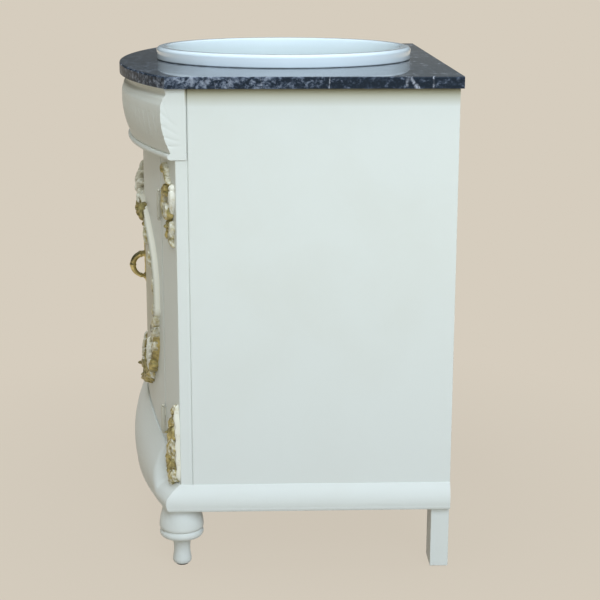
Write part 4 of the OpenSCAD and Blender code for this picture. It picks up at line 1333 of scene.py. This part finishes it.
class VANITY_OT_shell(Piece, bpy.types.Operator):
    """Carves the gilded shell and its knob at the foot of the scroll frame"""

    bl_idname = "vanity.shell"
    bl_label = "Shell"

    LEAVES = (
        (0.0, 0.006, 0, 0.060, 0.0115, 0.011, 6, 4, 0.2, 0.3, 0.9),
        (0.005, 0.006, 22, 0.060, 0.0115, 0.012, 6, 4, 0.2, 0.3, 0.9),
        (0.009, 0.006, 44, 0.058, 0.0115, 0.012, 6, 4, 0.2, 0.3, 0.9),
        (0.012, 0.006, 66, 0.060, 0.0115, 0.012, 6, 4, 0.2, 0.3, 0.9),
        (0.012, 0.008, 84, 0.072, 0.0115, 0.0125, -14, 4, 0.3, 0.9, 0.9),
        (0.012, 0.002, 98, 0.062, 0.0085, 0.010, -18, 3, 0.3, 0.9, 0.9),
    )

    def execute(self, context):
        carving = Carving(body_face(), 0.0, FRAME_LOW.z)
        carving.leaves(self.LEAVES)
        carving.boss(0.0, 0.001, 0.0125, 0.021, petals=5, gilt=0.95, hollow=0.1, turn=math.pi / 2)
        carving.on_doors("shell_carved", "shell")
        return {"FINISHED"}


class VANITY_OT_drops(Piece, bpy.types.Operator):
    """Carves the drops on the posts"""

    bl_idname = "vanity.drops"
    bl_label = "Post drops"

    # Points of the strands, in from the post's edge and below its top.
    HOOK = ((0.046, 0.030), (0.054, 0.020), (0.044, 0.012), (0.034, 0.020), (0.034, 0.032), (0.018, 0.046))
    LOOP = (
        *((0.024, 0.062), (0.034, 0.060), (0.046, 0.070), (0.050, 0.088), (0.038, 0.104)),
        *((0.018, 0.104), (0.014, 0.092), (0.022, 0.082)),
    )
    # Berries of the lower drop: in from the post's edge, up, radius, petals.
    BERRIES = ((0.028, 0.092, 0.0095, 5), (0.024, 0.066, 0.0085, 0), (0.029, 0.046, 0.0085, 6))
    TAIL = (
        (-0.012, -0.106, 184, 0.034, 0.0065, 0.0085, -6, 2, 0.1, 0.4, 0.5),
        (-0.022, -0.126, 164, 0.030, 0.0065, 0.0085, -20, 2, 0.1, 0.5, 0.5),
        (-0.028, -0.124, 200, 0.022, 0.0055, 0.0085, 20, 2, 0.1, 0.9, 0.6),
    )

    def execute(self, context):
        upper = Carving(body_face(), POST_HIGH.x, POST_HIGH.z)
        self.upper(upper)
        show_pair("upper_drop_carved", upper.bm, "gilt", "upper_drop")
        lower = Carving(body_face(), POST_HIGH.x, BAND_HIGH.z)
        self.lower(lower)
        show_pair("lower_drop_carved", lower.bm, "gilt", "lower_drop")
        return {"FINISHED"}

    def strand(self, carving, points, rise):
        """A strand, gilded on one flank, through points given from the post's edge and its top."""
        track = Track(self.rounded([(carving.x - x, carving.z - z) for x, z in points]))

        def half_width(s):
            return 0.0046 * min(1.0, 7 * s, 7 * (1 - s)) ** 0.5

        def tone(s, u):
            return 0.72 + 0.25 * u, 0.3 * smooth_step(0.6, 1, abs(u))

        carving.limb(track, half_width, lambda s, u: rise * (1 - 0.1 * u * u), tone, 48, 13, 3.0)

    def rounded(self, points, rounds=3):
        """Cuts the corners of a line of points until it is smooth."""
        for _ in range(rounds):
            smoother = [points[0]]
            for (ax, az), (bx, bz) in zip(points, points[1:]):
                smoother.append((0.75 * ax + 0.25 * bx, 0.75 * az + 0.25 * bz))
                smoother.append((0.25 * ax + 0.75 * bx, 0.25 * az + 0.75 * bz))
            points = smoother + [points[-1]]
        return points

    def upper(self, carving):
        """A hooked strand over a cream leaf, a loop, a rosette and a tail."""
        self.strand(carving, self.HOOK, 0.0095)
        self.strand(carving, self.LOOP, 0.0105)
        carving.boss(-0.012, -0.050, 0.0070, 0.0098, gilt=0.2, hollow=0.0)
        carving.leaf(-0.010, -0.050, 180, 0.046, 0.0080, 0.0092, 2, 1, 0.1, 0.26, 0.34)
        carving.leaf(-0.028, -0.044, 226, 0.034, 0.0085, 0.011, -34, 3, 0.2, 0.9, 0.8)
        carving.boss(-0.032, -0.062, 0.0075, 0.010, gilt=0.95, hollow=0.3)
        carving.leaf(-0.027, -0.076, 168, 0.034, 0.010, 0.0125, 14, 2, 0.1, 0.42, 0.45)
        carving.boss(-0.024, -0.117, 0.0125, 0.0125, petals=6, gilt=0.85, hollow=0.15)
        carving.leaves(self.TAIL)

    def lower(self, carving):
        """A slim console beside the post's edge, with leaves and berries down it."""
        edge_x, low_z = carving.x, carving.z
        console = Track([(edge_x - 0.006, low_z + 0.149), (edge_x - 0.0065, low_z + 0.004)])

        def half_width(s):
            slim = 0.5 + 0.5 * smooth_step(0.0, 0.3, s) - 0.12 * math.sin(14 * s)
            return 0.0052 * slim * min(1.0, 9 * s, 14 * (1 - s)) ** 0.5

        def rise(s, u):
            return 0.0092 - 0.0022 * s - 0.0015 * hump(u, 0.3) + 0.0009 * math.cos(2 * math.pi * 5.5 * s)

        def tone(s, u):
            return 0.24 + 0.14 * math.sin(19 * s), 0.25 * hump(u, 0.3) + 0.15 * smooth_step(0.3, 0.9, s)

        carving.limb(console, half_width, rise, tone, 30, 13, 5.0)
        for i in range(7):
            x, z = -0.013 - 0.003 * math.sin(i * 1.9), 0.142 - 0.0192 * i
            size = 0.5 + 0.5 * smooth_step(-1, 3, i)
            length = size * (0.036 + 0.010 * math.sin(math.pi * i / 6))
            gilt = 0.5 + 0.16 * (i % 3)
            carving.leaf(x, z, 212, length, 0.0105 * size, 0.0165 * size, -28, 3, 0.25, gilt, 0.8)
            small = (172, length * 0.8, 0.0075, 0.013 * size, 10, 3, 0.2)
            carving.leaf(x - 0.001, z + 0.004, *small, gilt - 0.08, 0.66)
        for x, z, radius, petals in self.BERRIES:
            carving.boss(-x, z, radius, 0.0165, petals, gilt=0.85, hollow=0.1)
        carving.boss(-0.024, 0.022, 0.0105, 0.0165, petals=5, hollow=0.1)
        carving.leaf(-0.022, 0.022, 190, 0.022, 0.007, 0.010, 10, 2, 0.1, 0.6, 1)


class VANITY_OT_pull(Piece, bpy.types.Operator):
    """Casts the ring pull and its leaf-shaped backplate"""

    bl_idname = "vanity.pull"
    bl_label = "Pull"

    PLATE_T = 0.0035  # thickness of the backplate
    LOBE_GAP = 0.046  # between the centres of the plate's two round lobes
    BOSS_R = 0.0078

    def execute(self, context):
        x = (PLATE_LOW.x + PLATE_HIGH.x) / 2
        self.plate(x)
        self.ring(x, (PULL_LOW.z + PULL_HIGH.z) / 2)
        return {"FINISHED"}

    def plate(self, x):
        """The backplate: two round lobes with a point above them, ribbed and veined."""
        low, high = PLATE_LOW.z, PLATE_HIGH.z
        half = (PLATE_HIGH.x - PLATE_LOW.x) / 2
        carving = Carving(body_face())

        def half_width(s):
            z = s * (high - low)
            round_low = math.sqrt(max(0.0, half**2 - (z - half) ** 2))
            round_high = math.sqrt(max(0.0, half**2 - (z - half - self.LOBE_GAP) ** 2))
            waist = half * 0.66 if half < z < half + self.LOBE_GAP else 0.0
            point = (half - 0.001) * (1 - smooth_step(half + 0.05, high - low, z) ** 0.8)
            return max(round_low, round_high, waist, point if z > half + self.LOBE_GAP else 0.0)

        def rise(s, u):
            rib = 0.0009 * hump(u, 0.16) * smooth_step(0.45, 0.6, s)
            veins = 0.0005 * math.cos(2 * math.pi * 7 * (s - 0.12 * abs(u))) * abs(u)
            return self.PLATE_T - 0.0008 + rib + veins

        def tone(s, u):
            return 1.0, 0.3 * smooth_step(0.7, 1.0, abs(u))

        carving.limb(Track([(x, low), (x, high)]), half_width, rise, tone, 90, 20, 6.0)
        show("pull_plate_cast", carving.bm, RIGHT_DOOR, "old_brass", "pull_plate")

    def ring(self, x, z):
        """The half ring, collared in three places, with a rosette at either end."""
        thick = self.sizes.pull_bar
        radius = (PULL_HIGH.z - PULL_LOW.z) / 2 - thick - 0.0012
        carving = Carving(body_face())

        def bar(s, t):
            angle, about = math.pi * s, 2 * math.pi * t
            lean = thick * (1 - 0.36 * smooth_step(0.45, 1.0, s))
            collar = 0.0011 * (hump(s - 0.1, 0.025) + hump(s - 0.9, 0.025) + hump(s - 0.5, 0.03))
            r = lean + collar - 0.0004
            reach = radius + r * math.cos(about)
            out = self.PLATE_T + reach * math.sin(angle)
            return x + r * math.sin(about), z + reach * math.cos(angle), out, 1.0, 0.0

        carving.sheet(56, 20, bar)
        for k in (-1, 1):
            carving.boss(x, z + k * radius, self.BOSS_R, self.PLATE_T + 0.0042, 8, 1.0, 0.0)
        close_ends(carving.bm)
        show("pull_cast", carving.bm, RIGHT_DOOR, "old_brass", "pull")


class VANITY_OT_stage(Piece, bpy.types.Operator):
    """Sets the pale floor, the soft lamps, the world and the camera"""

    bl_idname = "vanity.stage"
    bl_label = "Floor, lights and camera"

    AMBIENT = (0.385, 0.365, 0.31)
    FLOOR_HALF = 30  # half the floor's width
    # Place, what the lamp looks at, size and tint.
    KEY = ((3.4, 0.8, 2.5), (0.2, 0.0, 0.5), 2.6, (0.79, 0.925, 1.075))
    OVERHEAD = ((0.2, -0.5, 3.4), (0.0, 0.0, 0.8), 2.0, (0.84, 0.95, 1.06))
    # The dim room that polish reflects, from the floor up: height, colour.
    ROOM = (
        (0.02, (0.30, 0.29, 0.27)),
        (0.09, (0.15, 0.17, 0.18)),
        (0.5, (0.10, 0.12, 0.14)),
        (0.82, (0.66, 0.70, 0.74)),
    )

    def execute(self, context):
        scene = context.scene
        lights = scene.vanity_lights
        backdrop = scene.vanity_colours.backdrop
        self.floor(backdrop)
        self.world(scene, backdrop, lights.ambient)
        self.lamp("key", lights.key_power, *self.KEY)
        self.lamp("overhead", lights.overhead_power, *self.OVERHEAD)
        self.camera(scene, lights)
        scene.view_settings.view_transform = "Standard"
        return {"FINISHED"}

    def lamp(self, name, power, place, aim, size, tint):
        """A square lamp that no polish reflects."""
        data = bpy.data.lights.new(name, "AREA")
        data.shape = "SQUARE"
        data.size = size
        data.energy = power
        data.color = tint
        lamp = bpy.data.objects.new(name, data)
        lamp.location = place
        away = Vector(place) - Vector(aim)
        lamp.rotation_euler = away.to_track_quat("Z", "Y").to_euler()
        lamp.visible_glossy = False
        bpy.context.scene.collection.objects.link(lamp)

    def floor(self, backdrop):
        """A wide floor that takes the object's shadow near it and is the backdrop's colour far off."""
        bm = bmesh.new()
        bmesh.ops.create_grid(bm, x_segments=1, y_segments=1, size=self.FLOOR_HALF)
        floor = placed("floor", bm)
        recipe = Recipe("floor_paper")
        paper = recipe.make("BsdfDiffuse", {"Color": 0.6 * Vector(backdrop)})
        glow = recipe.make("Emission", {"Color": backdrop})
        path = recipe.make("LightPath").outputs
        seen = recipe.larger(path["Is Camera Ray"], path["Is Glossy Ray"])
        seen = recipe.larger(seen, path["Is Transmission Ray"])
        far = recipe.spread(recipe.distance(recipe.place), 0.90, 1.0, 0.45, 1.1)
        recipe.end("OutputMaterial", recipe.mix_shaders(recipe.product(seen, far), paper, glow))
        floor.data.materials.append(recipe.material)

    def world(self, scene, backdrop, ambient):
        """Even light for the object, with the backdrop's colour where it is seen."""
        scene.world = bpy.data.worlds.new("studio")
        nodes = Nodes(scene.world)
        axes = nodes.axes(nodes.coordinates["Generated"])
        light = nodes.make("Background", {"Color": self.AMBIENT, "Strength": ambient})
        darker_left = nodes.spread(axes["Y"], 0.35, 1.0, -0.2, 0.12)
        room = nodes.make("Background", {"Color": nodes.ramp(axes["Z"], self.ROOM), "Strength": darker_left})
        seen = nodes.make("Background", {"Color": backdrop})
        path = nodes.make("LightPath").outputs
        around = nodes.mix_shaders(path["Is Glossy Ray"], light, room)
        direct = nodes.larger(path["Is Camera Ray"], path["Is Transmission Ray"])
        nodes.end("OutputWorld", nodes.mix_shaders(direct, around, seen))

    def camera(self, scene, lights):
        """The photograph's camera, turned by its pitch, yaw and roll."""
        pitch, yaw, roll = lights.pitch, lights.yaw, lights.roll
        level_share = math.cos(pitch)
        ahead = -Vector((level_share * math.cos(yaw), level_share * math.sin(yaw), math.sin(pitch)))
        level = ahead.cross(Vector((0, 0, 1))).normalized()
        upright = level.cross(ahead)
        right = level * math.cos(roll) + upright * math.sin(roll)
        up = upright * math.cos(roll) - level * math.sin(roll)
        data = bpy.data.cameras.new("photo_camera")
        data.sensor_width = 36.0
        data.lens = lights.focal
        data.clip_end = 200.0
        camera = bpy.data.objects.new("photo_camera", data)
        turn = Matrix((right, up, -ahead)).transposed().to_4x4()
        camera.matrix_world = Matrix.Translation(lights.camera) @ turn
        scene.collection.objects.link(camera)
        scene.camera = camera


OPERATORS = (
    VANITY_OT_panels,
    VANITY_OT_fittings,
    VANITY_OT_stone,
    VANITY_OT_basin,
    VANITY_OT_frieze,
    VANITY_OT_skirt,
    VANITY_OT_side_mouldings,
    VANITY_OT_feet,
    VANITY_OT_scroll_frame,
    VANITY_OT_crest,
    VANITY_OT_shell,
    VANITY_OT_drops,
    VANITY_OT_pull,
    VANITY_OT_stage,
)


class VANITY_PT_pieces(bpy.types.Panel):
    """Lists the pieces of the vanity unit and its sizes and colours"""

    bl_idname = "VANITY_PT_pieces"
    bl_label = "Vanity unit"
    bl_space_type = "VIEW_3D"
    bl_region_type = "UI"
    bl_category = "Vanity"

    def draw(self, context):
        layout = self.layout
        for operator in OPERATORS:
            layout.operator(operator.bl_idname)
        for group in (context.scene.vanity_sizes, context.scene.vanity_colours, context.scene.vanity_lights):
            box = layout.box()
            for name in group.__annotations__:
                box.prop(group, name)


GROUPS = {"vanity_sizes": VanitySizes, "vanity_colours": VanityColours, "vanity_lights": VanityLights}


def register():
    for group in GROUPS.values():
        bpy.utils.register_class(group)
    for name, group in GROUPS.items():
        setattr(bpy.types.Scene, name, PointerProperty(type=group))
    for operator in OPERATORS:
        bpy.utils.register_class(operator)
    bpy.utils.register_class(VANITY_PT_pieces)


def unregister():
    bpy.utils.unregister_class(VANITY_PT_pieces)
    for operator in reversed(OPERATORS):
        bpy.utils.unregister_class(operator)
    for name, group in GROUPS.items():
        delattr(bpy.types.Scene, name)
        bpy.utils.unregister_class(group)


def main():
    register()
    for operator in OPERATORS:
        group, name = operator.bl_idname.split(".")
        getattr(getattr(bpy.ops, group), name)()


if __name__ == "__main__":
    main()
